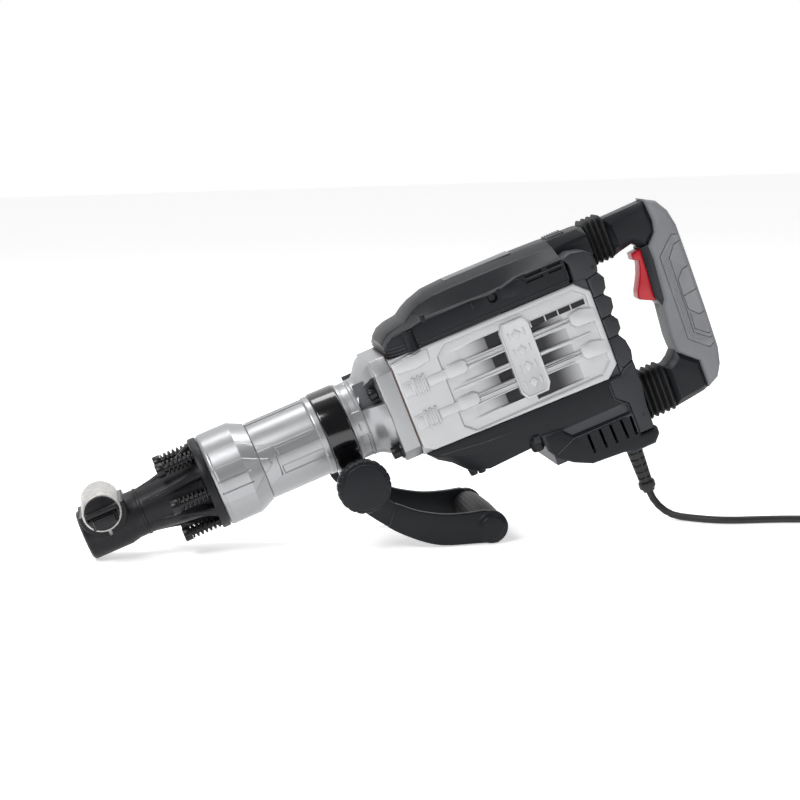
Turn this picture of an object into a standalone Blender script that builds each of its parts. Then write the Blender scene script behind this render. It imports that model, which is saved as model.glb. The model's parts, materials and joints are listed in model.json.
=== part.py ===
"""Electric jackhammer: an assembly of separate pieces, nose down on its front edge and its side handle.

Shapes are drawn in millimetres in the hammer's own frame, which the tool_frame empty tilts and stands on
the floor: X runs along the barrel from the nose to the rear handle, Z is the hammer's top side, and -Y is
the side with the clamping knob. X = Y = Z = 0 is on the barrel's axis, under the gearbox flange.
"""
import math

import bmesh
import bpy
from mathutils import Matrix, Vector

# ---------------------------------------------------------------- driving dimensions (mm, degrees)
MM = 0.001
GAP = 0.3                     # air between pieces that touch
STANCE_DEG = 20.233           # the barrel's slope when the hammer stands on nose and side handle
STAND_X = -7.452              # where the hammer's own zero stands, so that the whole is centred
STAND_Y = 5.15                # the knob's side is the wider one
STAND_Z = 146.831

NOSE_X = -355.0               # front rim of the tool holder
FLANGE_X = -213.0             # rear face of the tool holder's flange
COLLAR_END_X = -162.0
BARREL_END_X = -46.0
HEAD_END_X = -3.0             # rear face of the gearbox flange
CASE_SPLIT_X = 124.0          # joint between crankcase and motor housing
BODY_END_X = 221.0            # rear face of the motor housing
REAR_X = 244.0                # rear face of the rear cover
HANDLE_BACK_X = 343.0

BARREL_R = 42.0
COLLAR_R = 50.0
NOSE_R = 26.5
BORE_FLATS = 30.0             # hexagon bore for the chisel, across flats
CYLINDER_R = 29.0             # bore of the hammer cylinder
CYLINDER_OUT_R = 33.0
SLEEVE_SEAT_R = 33.4          # bore of the castings round the cylinder
BOLT_CIRCLE_R = 41.5
BOLT_COUNT = 6
BOLT_HOLE_R = 4.4
BOLT_HEAD_R = 7.5
RETAINER_R = 20.0             # cross pin that holds the chisel in
RETAINER_AT = (-328.0, 0.0, 22.0)
RETAINER_END_Y = 33.0
RETAINER_LEVER_R = 18.0
CHISEL_ROOM_R = 17.8          # the saddle cut in the cross pin
NOSE_TRAVEL = 3.0

CASE_HALF_W = 45.5
COVER_HALF_W = 49.0
PANEL_HALF_W = 50.0
CASE_TOP_Z = 52.5
CASE_LOW_Z = -53.0
MOTOR_LOW_Z = -122.0
COVER_LOW_Z = 52.8            # the upper cover's lower rim
COVER_WALL = 3.0
TAIL_X = 206.7                # where the upper cover narrows to its tail
TAIL_HALF_W = 24.0
POD_TOP_Z = 80.0              # tops of the rear cover's two corner blocks
POD_END_X = 238.0
BELLY_CHAMFER = 7.0

CRANK_X = 89.5
CRANK_THROW = 14.0
ROD_LENGTH = 100.0
GEAR_MODULE = 1.5
CRANK_TEETH = 44
LAY_PINION_TEETH = 12
LAY_WHEEL_TEETH = 48
MOTOR_TEETH = 10
LAY_X = CRANK_X + GEAR_MODULE * (CRANK_TEETH + LAY_PINION_TEETH) / 2
MOTOR_X = LAY_X + GEAR_MODULE * (LAY_WHEEL_TEETH + MOTOR_TEETH) / 2

CLAMP_X = -75.5               # axis of the side handle's clamping bolt
CLAMP_Z = -52.4
GRIP_X = 33.0                 # axis of the side handle's grip
GRIP_Z = -150.0
GRIP_END_R = 17.5
ARM_IN_Y = 53.0
ARM_OUT_Y = 59.0

GUIDE_TOP_Z = 75.0            # the rear handle's two guide pins
GUIDE_LOW_Z = -104.0
TRIGGER_PIVOT = (309.0, 44.0)

GLAND_X = 219.0
GLAND_TOP_Z = -143.0
GLAND_LOW_Z = -204.0
CORD_R = 4.0

FINE = 28                     # sides of a large round piece
ROUND = 20
SMALL = 12
SPRING_SIDES = 7


# ---------------------------------------------------------------- scene and materials
for old in list(bpy.data.objects):
    bpy.data.objects.remove(old, do_unlink=True)

tool_frame = bpy.data.objects.new("tool_frame", None)
tool_frame.location = (STAND_X * MM, STAND_Y * MM, STAND_Z * MM)
tool_frame.rotation_euler = (0.0, -math.radians(STANCE_DEG), 0.0)
bpy.context.collection.objects.link(tool_frame)


def finish(name, colour, roughness, metallic):
    """A Principled material in the piece's own colour."""
    made = bpy.data.materials.new(name)
    made.use_nodes = True
    shader = made.node_tree.nodes["Principled BSDF"]
    shader.inputs["Base Color"].default_value = (*colour, 1.0)
    shader.inputs["Roughness"].default_value = roughness
    shader.inputs["Metallic"].default_value = metallic
    return made


CAST_BLACK = finish("cast_black", (0.035, 0.035, 0.04), 0.55, 0.6)
CAST_GREY = finish("cast_grey", (0.42, 0.43, 0.44), 0.45, 0.7)
SILVER_PAINT = finish("silver_paint", (0.55, 0.56, 0.57), 0.35, 0.75)
PALE_PANEL = finish("pale_panel", (0.68, 0.69, 0.70), 0.32, 0.6)
BLACK_PLASTIC = finish("black_plastic", (0.025, 0.028, 0.034), 0.5, 0.0)
DARK_GREY = finish("dark_grey_plastic", (0.09, 0.095, 0.1), 0.55, 0.0)
SOFT_GREY = finish("soft_grey", (0.20, 0.205, 0.215), 0.7, 0.0)
RUBBER = finish("rubber", (0.02, 0.02, 0.022), 0.75, 0.0)
RED = finish("red_plastic", (0.62, 0.015, 0.03), 0.4, 0.0)
BRIGHT_STEEL = finish("bright_steel", (0.62, 0.62, 0.63), 0.25, 1.0)
GEAR_STEEL = finish("gear_steel", (0.38, 0.38, 0.40), 0.35, 1.0)
COPPER = finish("copper_winding", (0.55, 0.25, 0.12), 0.4, 0.9)
GLOSS_BLACK = finish("gloss_black", (0.015, 0.015, 0.017), 0.25, 0.2)


# ---------------------------------------------------------------- making shapes, in millimetres
def add_ring_faces(shape, rings, closed_along):
    """Joins rings of vertices with quads, or with triangles where a ring is one point."""
    count = len(rings)
    last = count if closed_along else count - 1
    for i in range(last):
        one, two = rings[i], rings[(i + 1) % count]
        steps = max(len(one), len(two))
        for k in range(steps):
            n = (k + 1) % steps
            corners = [one[k % len(one)], one[n % len(one)], two[n % len(two)], two[k % len(two)]]
            unique = list(dict.fromkeys(corners))
            if len(unique) > 2:
                shape.faces.new(unique)


def outward(shape):
    bmesh.ops.recalc_face_normals(shape, faces=shape.faces[:])
    return shape


def turned(profile, centre=(0.0, 0.0, 0.0), axis="X", sides=ROUND, radius_rule=None):
    """Turns (along, radius) points about an axis; a profile that leaves the axis closes on itself."""
    shape = bmesh.new()
    rings = []
    for along, radius in profile:
        ring = []
        for k in range(1 if radius == 0.0 else sides):
            angle = 2.0 * math.pi * (k + 0.5) / sides
            reach = radius * (radius_rule(angle) if radius_rule else 1.0)
            u, v = reach * math.cos(angle), reach * math.sin(angle)
            place = {"X": (along, u, v), "Y": (v, along, u), "Z": (u, v, along)}[axis]
            ring.append(shape.verts.new(Vector(place) + Vector(centre)))
        rings.append(ring)
    on_axis = profile[0][1] == 0.0 and profile[-1][1] == 0.0
    add_ring_faces(shape, rings, closed_along=not on_axis)
    return outward(shape)


def prism(outline, low, high, plane="XZ"):
    """A flat outline carried from low to high along the plane's normal."""
    shape = bmesh.new()
    rings = []
    for depth in (low, high):
        order = {"XZ": lambda p: (p[0], depth, p[1]),
                 "XY": lambda p: (p[0], p[1], depth),
                 "YZ": lambda p: (depth, p[0], p[1])}[plane]
        rings.append([shape.verts.new(order(point)) for point in outline])
    add_ring_faces(shape, rings, closed_along=False)
    for ring in rings:
        shape.faces.new(ring)
    return outward(shape)


def block(low, high):
    outline = [(low[0], low[2]), (high[0], low[2]), (high[0], high[2]), (low[0], high[2])]
    return prism(outline, low[1], high[1])


def loft(sections):
    """Skins a row of closed loops that have the same number of points, and caps both ends."""
    shape = bmesh.new()
    rings = [[shape.verts.new(point) for point in section] for section in sections]
    add_ring_faces(shape, rings, closed_along=False)
    shape.faces.new(rings[0])
    shape.faces.new(rings[-1])
    return outward(shape)


def joined(*shapes):
    """Puts several closed shapes in one mesh, for a cutter."""
    whole = bmesh.new()
    for shape in shapes:
        carrier = bpy.data.meshes.new("carrier")
        shape.to_mesh(carrier)
        shape.free()
        whole.from_mesh(carrier)
        bpy.data.meshes.remove(carrier)
    return whole


def moved(shape, turn_deg=0.0, axis="X", centre=(0.0, 0.0, 0.0), shift=(0.0, 0.0, 0.0)):
    spin = Matrix.Rotation(math.radians(turn_deg), 3, axis)
    bmesh.ops.rotate(shape, verts=shape.verts[:], cent=centre, matrix=spin)
    bmesh.ops.translate(shape, verts=shape.verts[:], vec=shift)
    return shape


def arc(centre, radius, start_deg, end_deg, steps):
    """Points along an arc, from one angle to another."""
    points = []
    for k in range(steps + 1):
        angle = math.radians(start_deg + (end_deg - start_deg) * k / steps)
        points.append((centre[0] + radius * math.cos(angle), centre[1] + radius * math.sin(angle)))
    return points


def add_object(name, shape, material, pivot=(0.0, 0.0, 0.0), parent=tool_frame):
    """Makes the object in metres, with its origin on the pivot."""
    bmesh.ops.translate(shape, verts=shape.verts[:], vec=-Vector(pivot))
    bmesh.ops.scale(shape, verts=shape.verts[:], vec=(MM, MM, MM))
    mesh = bpy.data.meshes.new(name)
    shape.to_mesh(mesh)
    shape.free()
    mesh.shade_smooth()
    mesh.set_sharp_from_angle(angle=math.radians(35.0))
    mesh.materials.append(material)
    made = bpy.data.objects.new(name, mesh)
    made.location = Vector(pivot) * MM
    made.parent = parent
    bpy.context.collection.objects.link(made)
    return made


def boolean(target, shape, operation, parent=tool_frame):
    """Cuts a shape from the target, or adds it, with a live Boolean."""
    label = f"{target.name}_{operation.lower()}_{len(target.modifiers)}"
    tool = add_object(label, shape, target.data.materials[0], parent=parent)
    tool.hide_render = True
    tool.display_type = "WIRE"
    step = target.modifiers.new(operation.lower(), "BOOLEAN")
    step.operation = operation
    step.object = tool
    step.solver = "EXACT"


def cut(target, shape):
    boolean(target, shape, "DIFFERENCE")


def add(target, shape):
    boolean(target, shape, "UNION")


def bevel(target, width, segments=1, angle_deg=30.0):
    step = target.modifiers.new("bevel", "BEVEL")
    step.width = width * MM
    step.segments = segments
    step.limit_method = "ANGLE"
    step.angle_limit = math.radians(angle_deg)


def gear_outline(teeth, centre, turn_deg=0.0):
    """Straight-flanked teeth, a little thinner than half the pitch so that a pair runs free."""
    pitch_r = GEAR_MODULE * teeth / 2
    tip_r = pitch_r + 0.75 * GEAR_MODULE
    root_r = pitch_r - 1.05 * GEAR_MODULE
    pitch_angle = 2.0 * math.pi / teeth
    points = []
    for tooth in range(teeth):
        middle = math.radians(turn_deg) + tooth * pitch_angle
        flanks = ((root_r, -0.30), (tip_r, -0.11), (tip_r, 0.11), (root_r, 0.30))
        for radius, share in flanks:
            angle = middle + share * pitch_angle
            points.append((centre[0] + radius * math.cos(angle), centre[1] + radius * math.sin(angle)))
    return points


# ---------------------------------------------------------------- tool holder and its retainer
def make_tool_holder():
    """Cast nose: hexagon bore, flange on six sprung bolts, six gussets between the bolts."""
    outer = [(NOSE_X, 0.0), (NOSE_X, 24.5), (NOSE_X + 2, NOSE_R), (-311, NOSE_R), (-303, 24.5), (-285, 24.5),
             (-257, 28.0), (-222, 31.0), (-222, 49.5), (FLANGE_X, 49.5), (FLANGE_X, 0.0)]
    holder = add_object("tool_holder", turned(outer, sides=FINE), CAST_BLACK)
    gussets = []
    for k in range(BOLT_COUNT):
        outline = [(-287, 20), (-287, 23.5), (-257, 30), (-240, 36), (-221, 47), (-221, 20)]
        gussets.append(moved(prism(outline, -4.0, 4.0), 360.0 * k / BOLT_COUNT, "X"))
    add(holder, joined(*gussets))
    flat_r = BORE_FLATS / math.sqrt(3.0)
    chisel_bore = turned([(NOSE_X - 5, 0.0), (NOSE_X - 5, flat_r), (-243, flat_r), (-243, 0.0)], sides=6)
    bolt_bore = turned([(-250, 0.0), (-250, 15.5), (FLANGE_X + 5, 15.5), (FLANGE_X + 5, 0.0)])
    cut(holder, chisel_bore)
    cut(holder, bolt_bore)
    holes = []
    for angle in bolt_angles():
        profile = [(-230, 0.0), (-230, BOLT_HOLE_R), (-205, BOLT_HOLE_R), (-205, 0.0)]
        hole = turned(profile, bolt_centre(angle), sides=SMALL)
        holes.append(hole)
    cut(holder, joined(*holes))
    seat = turned([(-40, 0.0), (-40, RETAINER_R + GAP), (40, RETAINER_R + GAP), (40, 0.0)], RETAINER_AT, "Y")
    cut(holder, seat)


def bolt_angles():
    """Angles from the hammer's side, so that a gusset stands at the top and the bottom."""
    return [360.0 * k / BOLT_COUNT for k in range(BOLT_COUNT)]


def bolt_centre(angle_deg):
    angle = math.radians(angle_deg)
    return (0.0, BOLT_CIRCLE_R * math.cos(angle), BOLT_CIRCLE_R * math.sin(angle))


def make_retainer():
    """Cross pin with a saddle that lets the chisel by, and the lever that turns it."""
    profile = [(-RETAINER_END_Y, 0.0), (-RETAINER_END_Y, RETAINER_R), (RETAINER_END_Y, RETAINER_R),
               (RETAINER_END_Y, 0.0)]
    pin = add_object("retainer_pin", turned(profile, RETAINER_AT, "Y"), CAST_GREY, RETAINER_AT)
    cut(pin, turned([(-360, 0.0), (-360, CHISEL_ROOM_R), (-290, CHISEL_ROOM_R), (-290, 0.0)]))
    near = -(RETAINER_END_Y + GAP)
    profile = [(near - 4, 0.0), (near - 4, RETAINER_LEVER_R), (near, RETAINER_LEVER_R), (near, 0.0)]
    disc = turned(profile, RETAINER_AT, "Y")
    lever = add_object("retainer_lever", disc, CAST_BLACK, RETAINER_AT)
    x, z = RETAINER_AT[0], RETAINER_AT[2]
    bar = [(x - 17, z - 5), (x + 15, z - 10), (x + 17, z + 1), (x - 14, z + 7)]
    add(lever, prism(bar, near - 12, near - 3))


# ---------------------------------------------------------------- head bolts, springs, front collar, barrel
def spring_shape(start_x, end_x, centre, coil_r, wire, turns):
    """A coil of square wire about an axis along X, with closed ends."""
    shape = bmesh.new()
    steps = turns * SPRING_SIDES
    rings = []
    for k in range(steps + 1):
        angle = 2.0 * math.pi * k / SPRING_SIDES
        x = start_x + wire / 2 + (end_x - start_x - wire) * k / steps
        ring = []
        for dr, dx in ((-1, -1), (1, -1), (1, 1), (-1, 1)):
            radius = coil_r + dr * wire / 2
            y, z = radius * math.cos(angle), radius * math.sin(angle)
            ring.append(shape.verts.new(Vector((x + dx * wire / 2, y, z)) + Vector(centre)))
        rings.append(ring)
    add_ring_faces(shape, rings, closed_along=False)
    shape.faces.new(rings[0])
    shape.faces.new(rings[-1])
    return outward(shape)


def make_head_bolts():
    """Six socket screws through the flange into the collar, each with a spring under its head."""
    for number, angle in enumerate(bolt_angles(), start=1):
        profile = [(-262, 0.0), (-262, BOLT_HEAD_R - 0.7), (-261, BOLT_HEAD_R), (-254, BOLT_HEAD_R), (-254, 4.0),
                   (-200, 4.0), (-200, 0.0)]
        add_object(f"head_bolt_{number}", turned(profile, bolt_centre(angle), sides=SMALL), BRIGHT_STEEL)
        coil = spring_shape(-253.7, -222.3, bolt_centre(angle), 6.2, 1.8, 4)
        add_object(f"head_spring_{number}", coil, GEAR_STEEL)


def make_front_collar():
    """Cast collar with a bright cone at the back, and the six threaded holes."""
    front = FLANGE_X + GAP
    profile = [(front, SLEEVE_SEAT_R), (front, 48.0), (front + 2, COLLAR_R), (-178, COLLAR_R), (COLLAR_END_X, 42.5),
               (COLLAR_END_X, SLEEVE_SEAT_R)]
    collar = add_object("front_collar", turned(profile, sides=FINE), SILVER_PAINT)
    holes = []
    for angle in bolt_angles():
        profile = [(-220, 0.0), (-220, BOLT_HOLE_R), (-198, BOLT_HOLE_R), (-198, 0.0)]
        hole = turned(profile, bolt_centre(angle), sides=SMALL)
        holes.append(hole)
    cut(collar, joined(*holes))


def make_barrel():
    start = COLLAR_END_X + GAP
    profile = [(start, SLEEVE_SEAT_R), (start, BARREL_R), (-97, BARREL_R), (-97, 43.0), (-90.3, 43.0), (-90.3, 39.7),
               (-61.7, 39.7), (-61.7, 43.0), (-58, 43.0), (-58, 41.0), (BARREL_END_X - GAP, 41.0),
               (BARREL_END_X - GAP, SLEEVE_SEAT_R)]
    add_object("barrel", turned(profile, sides=FINE), SILVER_PAINT)


# ---------------------------------------------------------------- hammer mechanism
def make_hammer_parts():
    """Cylinder, impact bolt, free striker and cup piston, all on the barrel's axis."""
    sleeve = [(-205, CYLINDER_R), (-205, CYLINDER_OUT_R), (20, CYLINDER_OUT_R), (20, CYLINDER_R)]
    add_object("cylinder_sleeve", turned(sleeve), BRIGHT_STEEL)
    sliding_r = CYLINDER_R - GAP
    impact = [(-240, 0.0), (-240, 13.0), (-238, 15.0), (-207, 15.0), (-204, sliding_r), (-190, sliding_r),
              (-186, 18.0), (-165, 18.0), (-163, 16.0), (-163, 0.0)]
    add_object("impact_bolt", turned(impact), BRIGHT_STEEL)
    striker = [(-148, 0.0), (-148, 14.0), (-140, 15.0), (-138, sliding_r), (-103, sliding_r), (-103, 0.0)]
    add_object("striker", turned(striker), BRIGHT_STEEL)
    piston = [(-72, 0.0), (-72, sliding_r), (-4, sliding_r), (-4, 25.0), (-62, 25.0), (-62, 0.0)]
    add_object("piston", turned(piston), BRIGHT_STEEL)


def make_crank_drive():
    """Overhung crank, connecting rod and the reduction gears; the rod's small end runs free in the piston."""
    pin_x = CRANK_X - CRANK_THROW
    crank_axis = (CRANK_X, 0.0, 0.0)
    shaft = turned([(9, 0.0), (9, 25.0), (18, 25.0), (18, 9.7), (40, 9.7), (40, 0.0)], crank_axis, "Z")
    crankshaft = add_object("crankshaft", shaft, GEAR_STEEL, crank_axis)
    add(crankshaft, turned([(-9, 0.0), (-9, 6.0), (10, 6.0), (10, 0.0)], (pin_x, 0.0, 0.0), "Z", SMALL))

    eye_x = pin_x - ROD_LENGTH
    big = arc((pin_x, 0.0), 12.5, -150.0, 150.0, 10)
    small = arc((eye_x, 0.0), 9.0, 40.0, 320.0, 10)
    rod = add_object("connecting_rod", prism(big + small, -6.0, 6.0, "XY"), GEAR_STEEL, (pin_x, 0.0, 0.0))
    hole = turned([(-10, 0.0), (-10, 6.4), (8, 6.4), (8, 0.0)], (pin_x, 0.0, 0.0), "Z", SMALL)
    cut(rod, hole)
    add(rod, turned([(-12, 0.0), (-12, 5.0), (12, 5.0), (12, 0.0)], (eye_x, 0.0, 0.0), "Z", SMALL))

    wheel = prism(gear_outline(CRANK_TEETH, (CRANK_X, 0.0)), 26.0, 38.0, "XY")
    crank_gear = add_object("crank_gear", wheel, GEAR_STEEL, crank_axis)
    cut(crank_gear, turned([(20, 0.0), (20, 10.0), (44, 10.0), (44, 0.0)], crank_axis, "Z"))

    lay_axis = (LAY_X, 0.0, 0.0)
    pinion_turn = 180.0 + 180.0 / LAY_PINION_TEETH
    pinion = prism(gear_outline(LAY_PINION_TEETH, (LAY_X, 0.0), pinion_turn), 25.6, 41.5, "XY")
    lay_gear = add_object("intermediate_gear", pinion, GEAR_STEEL, lay_axis)
    add(lay_gear, prism(gear_outline(LAY_WHEEL_TEETH, (LAY_X, 0.0)), 41.0, 49.0, "XY"))
    add(lay_gear, turned([(19.5, 0.0), (19.5, 5.0), (27, 5.0), (27, 0.0)], lay_axis, "Z", SMALL))

    motor_axis = (MOTOR_X, 0.0, 0.0)
    mesh_turn = 180.0 + 180.0 / MOTOR_TEETH
    drive = prism(gear_outline(MOTOR_TEETH, (MOTOR_X, 0.0), mesh_turn), 40.6, 54.0, "XY")
    motor_pinion = add_object("motor_pinion", drive, GEAR_STEEL, motor_axis)
    cut(motor_pinion, turned([(38, 0.0), (38, 3.5), (56, 3.5), (56, 0.0)], motor_axis, "Z", SMALL))


# ---------------------------------------------------------------- motor
def make_motor():
    """Upright series motor: armature, fan, field ring, brushes and the upper bearing."""
    axis = (MOTOR_X, 0.0, 0.0)
    rotor = [(-119, 0.0), (-119, 5.0), (-101, 5.0), (-101, 13.0), (-84, 13.0), (-84, 18.0), (-75, 24.0),
             (-3, 24.0), (2, 18.0), (4, 5.0), (38, 5.0), (40, 3.2), (54, 3.2), (54, 0.0)]
    add_object("armature", turned(rotor, axis, "Z"), COPPER, axis)
    ring = [(-78, 25.0), (-78, 41.0), (3, 41.0), (3, 25.0)]
    add_object("stator", turned(ring, axis, "Z"), GEAR_STEEL)
    fan = add_object("fan", turned([(14, 5.3), (16, 37.0), (17.5, 37.0), (17.5, 5.3)], axis, "Z"),
                     BLACK_PLASTIC, axis)
    blades = []
    for k in range(9):
        blade = block((MOTOR_X + 14, -1.0, 6.5), (MOTOR_X + 34, 1.0, 16.5))
        blades.append(moved(blade, 40.0 * k, "Z", axis))
    add(fan, joined(*blades))
    bearing = [(19.3, 5.3), (19.3, 14.0), (25.0, 14.0), (25.0, 5.3)]
    add_object("armature_bearing", turned(bearing, axis, "Z"), BRIGHT_STEEL)
    for side, name in ((-1, "brush_holder_near"), (1, "brush_holder_far")):
        low_y, high_y = sorted((side * 13.6, side * 41.2))
        holder = block((MOTOR_X - 6, low_y, -98), (MOTOR_X + 6, high_y, -87))
        add_object(name, holder, finish(name, (0.45, 0.33, 0.12), 0.4, 0.8))


# ---------------------------------------------------------------- housings
def make_housings():
    """Gearbox head, crankcase, motor housing and the plate that carries the bearings."""
    cone = [(BARREL_END_X, SLEEVE_SEAT_R), (BARREL_END_X, 42.0), (-40, 42.5), (-30, 49.0), (-20, 50.5), (-8, 50.5),
            (-8, SLEEVE_SEAT_R)]
    head = add_object("gearbox_head", turned(cone, sides=FINE), SILVER_PAINT)
    flange = [(-46, -44), (-36, -54), (36, -54), (46, -44), (46, 42), (32, 57), (-32, 57), (-46, 42)]
    plate = prism(flange, -22.0, HEAD_END_X - GAP, "YZ")
    add(head, plate)
    cut(head, turned([(-60, 0.0), (-60, SLEEVE_SEAT_R), (10, SLEEVE_SEAT_R), (10, 0.0)]))

    wide = CASE_HALF_W
    crankcase = add_object("crankcase", block((HEAD_END_X, -wide, CASE_LOW_Z), (CASE_SPLIT_X, wide, CASE_TOP_Z)),
                           CAST_GREY)
    cut(crankcase, block((3, -40.5, -47), (CASE_SPLIT_X + 5, 40.5, CASE_TOP_Z + 5)))
    cut(crankcase, turned([(-9, 0.0), (-9, SLEEVE_SEAT_R), (9, SLEEVE_SEAT_R), (9, 0.0)]))

    front = CASE_SPLIT_X + GAP
    motor_case = add_object("motor_housing", block((front, -wide, MOTOR_LOW_Z), (BODY_END_X, wide, CASE_TOP_Z)),
                            DARK_GREY)
    cut(motor_case, block((129, -41.5, -116), (216.5, 41.5, CASE_TOP_Z + 5)))
    cut(motor_case, block((front - 5, -40.5, 18.8), (131, 40.5, CASE_TOP_Z + 5)))
    cut(motor_case, turned([(-130, 0.0), (-130, 12.0), (-110, 12.0), (-110, 0.0)], (MOTOR_X, 0.0, 0.0), "Z"))

    carrier = add_object("bearing_plate", block((50, -40.2, 19.3), (216.2, 40.2, 25.0)), CAST_GREY)
    holes = []
    for x, radius in ((CRANK_X, 10.0), (LAY_X, 5.3), (MOTOR_X, 14.3)):
        holes.append(turned([(15, 0.0), (15, radius), (30, radius), (30, 0.0)], (x, 0.0, 0.0), "Z"))
    cut(carrier, joined(*holes))


PANEL_OUTLINE = [(-2, -46), (8, -52), (207, -57), (220.7, -45), (220.5, 38), (206, 51.5), (30, 52.5), (-2, 48)]


def make_side_panels():
    for side, name in ((-1, "side_panel_near"), (1, "side_panel_far")):
        low_y, high_y = sorted((side * (CASE_HALF_W + GAP), side * PANEL_HALF_W))
        panel = add_object(name, prism(PANEL_OUTLINE, low_y, high_y), PALE_PANEL)
        bevel(panel, 1.2)


def cover_section(x, wide, ledge_z, top_z, inset):
    """One cross-section of the upper cover: upright sides to a ledge, then sloped faces to a flat top."""
    low = COVER_LOW_Z - (20.0 if inset else 0.0)
    half = [(wide - inset, low), (wide - inset, ledge_z - inset), (30.0 - inset, top_z - 6.0 - inset),
            (13.0 - inset / 2, top_z - inset)]
    return [(x, y, z) for y, z in half] + [(x, -y, z) for y, z in reversed(half)]


def make_upper_cover():
    """Black shell over the gears: a helmet front, then level to a narrow tail under the handle."""
    stations = [(0.0, 36.0, 64.0, 71.0), (10.0, 46.0, 72.0, 79.0), (22.0, COVER_HALF_W, 75.0, 82.0),
                (31.0, COVER_HALF_W, 76.5, 83.5), (40.0, COVER_HALF_W, 79.0, 90.0), (50.0, COVER_HALF_W, 79.2, 95.5),
                (64.0, COVER_HALF_W, 79.0, 100.0), (244.5, COVER_HALF_W, 80.0, 98.0)]
    shell = add_object("upper_cover", loft([cover_section(*station, 0.0) for station in stations]), BLACK_PLASTIC)
    hollow = [(COVER_WALL + x, wide, ledge_z, top_z) for x, wide, ledge_z, top_z in stations[:-1]]
    hollow.append((TAIL_X - COVER_WALL, COVER_HALF_W, 79.6, 98.4))
    cut(shell, loft([cover_section(*station, COVER_WALL) for station in hollow]))
    inner = TAIL_HALF_W - COVER_WALL
    cut(shell, block((TAIL_X - 2 * COVER_WALL, -inner, 40), (241, inner, 93)))
    for side in (-1, 1):
        low_y, high_y = sorted((side * TAIL_HALF_W, side * 60.0))
        cut(shell, block((TAIL_X, low_y, 40), (260, high_y, 110)))
    cut(shell, block((BODY_END_X + GAP, -60, 30), (260, 60, 67.3)))


def make_lower_cover():
    """Black belly: shallow under the crankcase, deep and vented round the motor's foot."""
    outline = [(-1, -54), (9, -67), (22, -75), (33, -87), (42, -93), (57, -97.5), (108, -95), (118, -98),
               (120, -104), (126, -114), (141, -126), (160, -136), (196, -138.5), (208, GLAND_TOP_Z),
               (232, GLAND_TOP_Z), (240, -134), (240, -58), (8, -53.4)]
    raised = [(x, z + BELLY_CHAMFER if z < -60.0 else z) for x, z in outline]
    edge = COVER_HALF_W - BELLY_CHAMFER
    rows = ((-COVER_HALF_W, raised), (-edge, outline), (edge, outline), (COVER_HALF_W, raised))
    belly = add_object("lower_cover", loft([[(x, y, z) for x, z in row] for y, row in rows]), BLACK_PLASTIC)
    cut(belly, block((BODY_END_X, -60, -125.3), (260, 60, -30)))
    front_room = [(8, -40), (13, -65), (27, -72), (37, -84), (46, -89), (58, -93), (108, -91), (121, -95),
                  (121, -40)]
    cut(belly, prism(front_room, -44.0, 44.0))
    cut(belly, block((CASE_SPLIT_X, -45.8, MOTOR_LOW_Z - GAP), (BODY_END_X + 5, 45.8, -40)))
    cut(belly, block((110, -44.0, -90), (CASE_SPLIT_X + 4, 44.0, -40)))


def make_rear_cover():
    """Back of the motor, with a block at each upper corner beside the upper cover's tail."""
    front = BODY_END_X + GAP
    cover = add_object("rear_cover", block((front, -47.5, -125), (REAR_X, 47.5, 67)), DARK_GREY)
    bevel(cover, 3.0, 1)
    cut(cover, block((front - 5, -43.5, -121), (REAR_X - 4, 43.5, 63)))
    for side in (-1, 1):
        low_y, high_y = sorted((side * (TAIL_HALF_W + GAP), side * 47.5))
        add(cover, block((TAIL_X + GAP, low_y, COVER_LOW_Z + GAP), (POD_END_X, high_y, POD_TOP_Z)))


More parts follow.
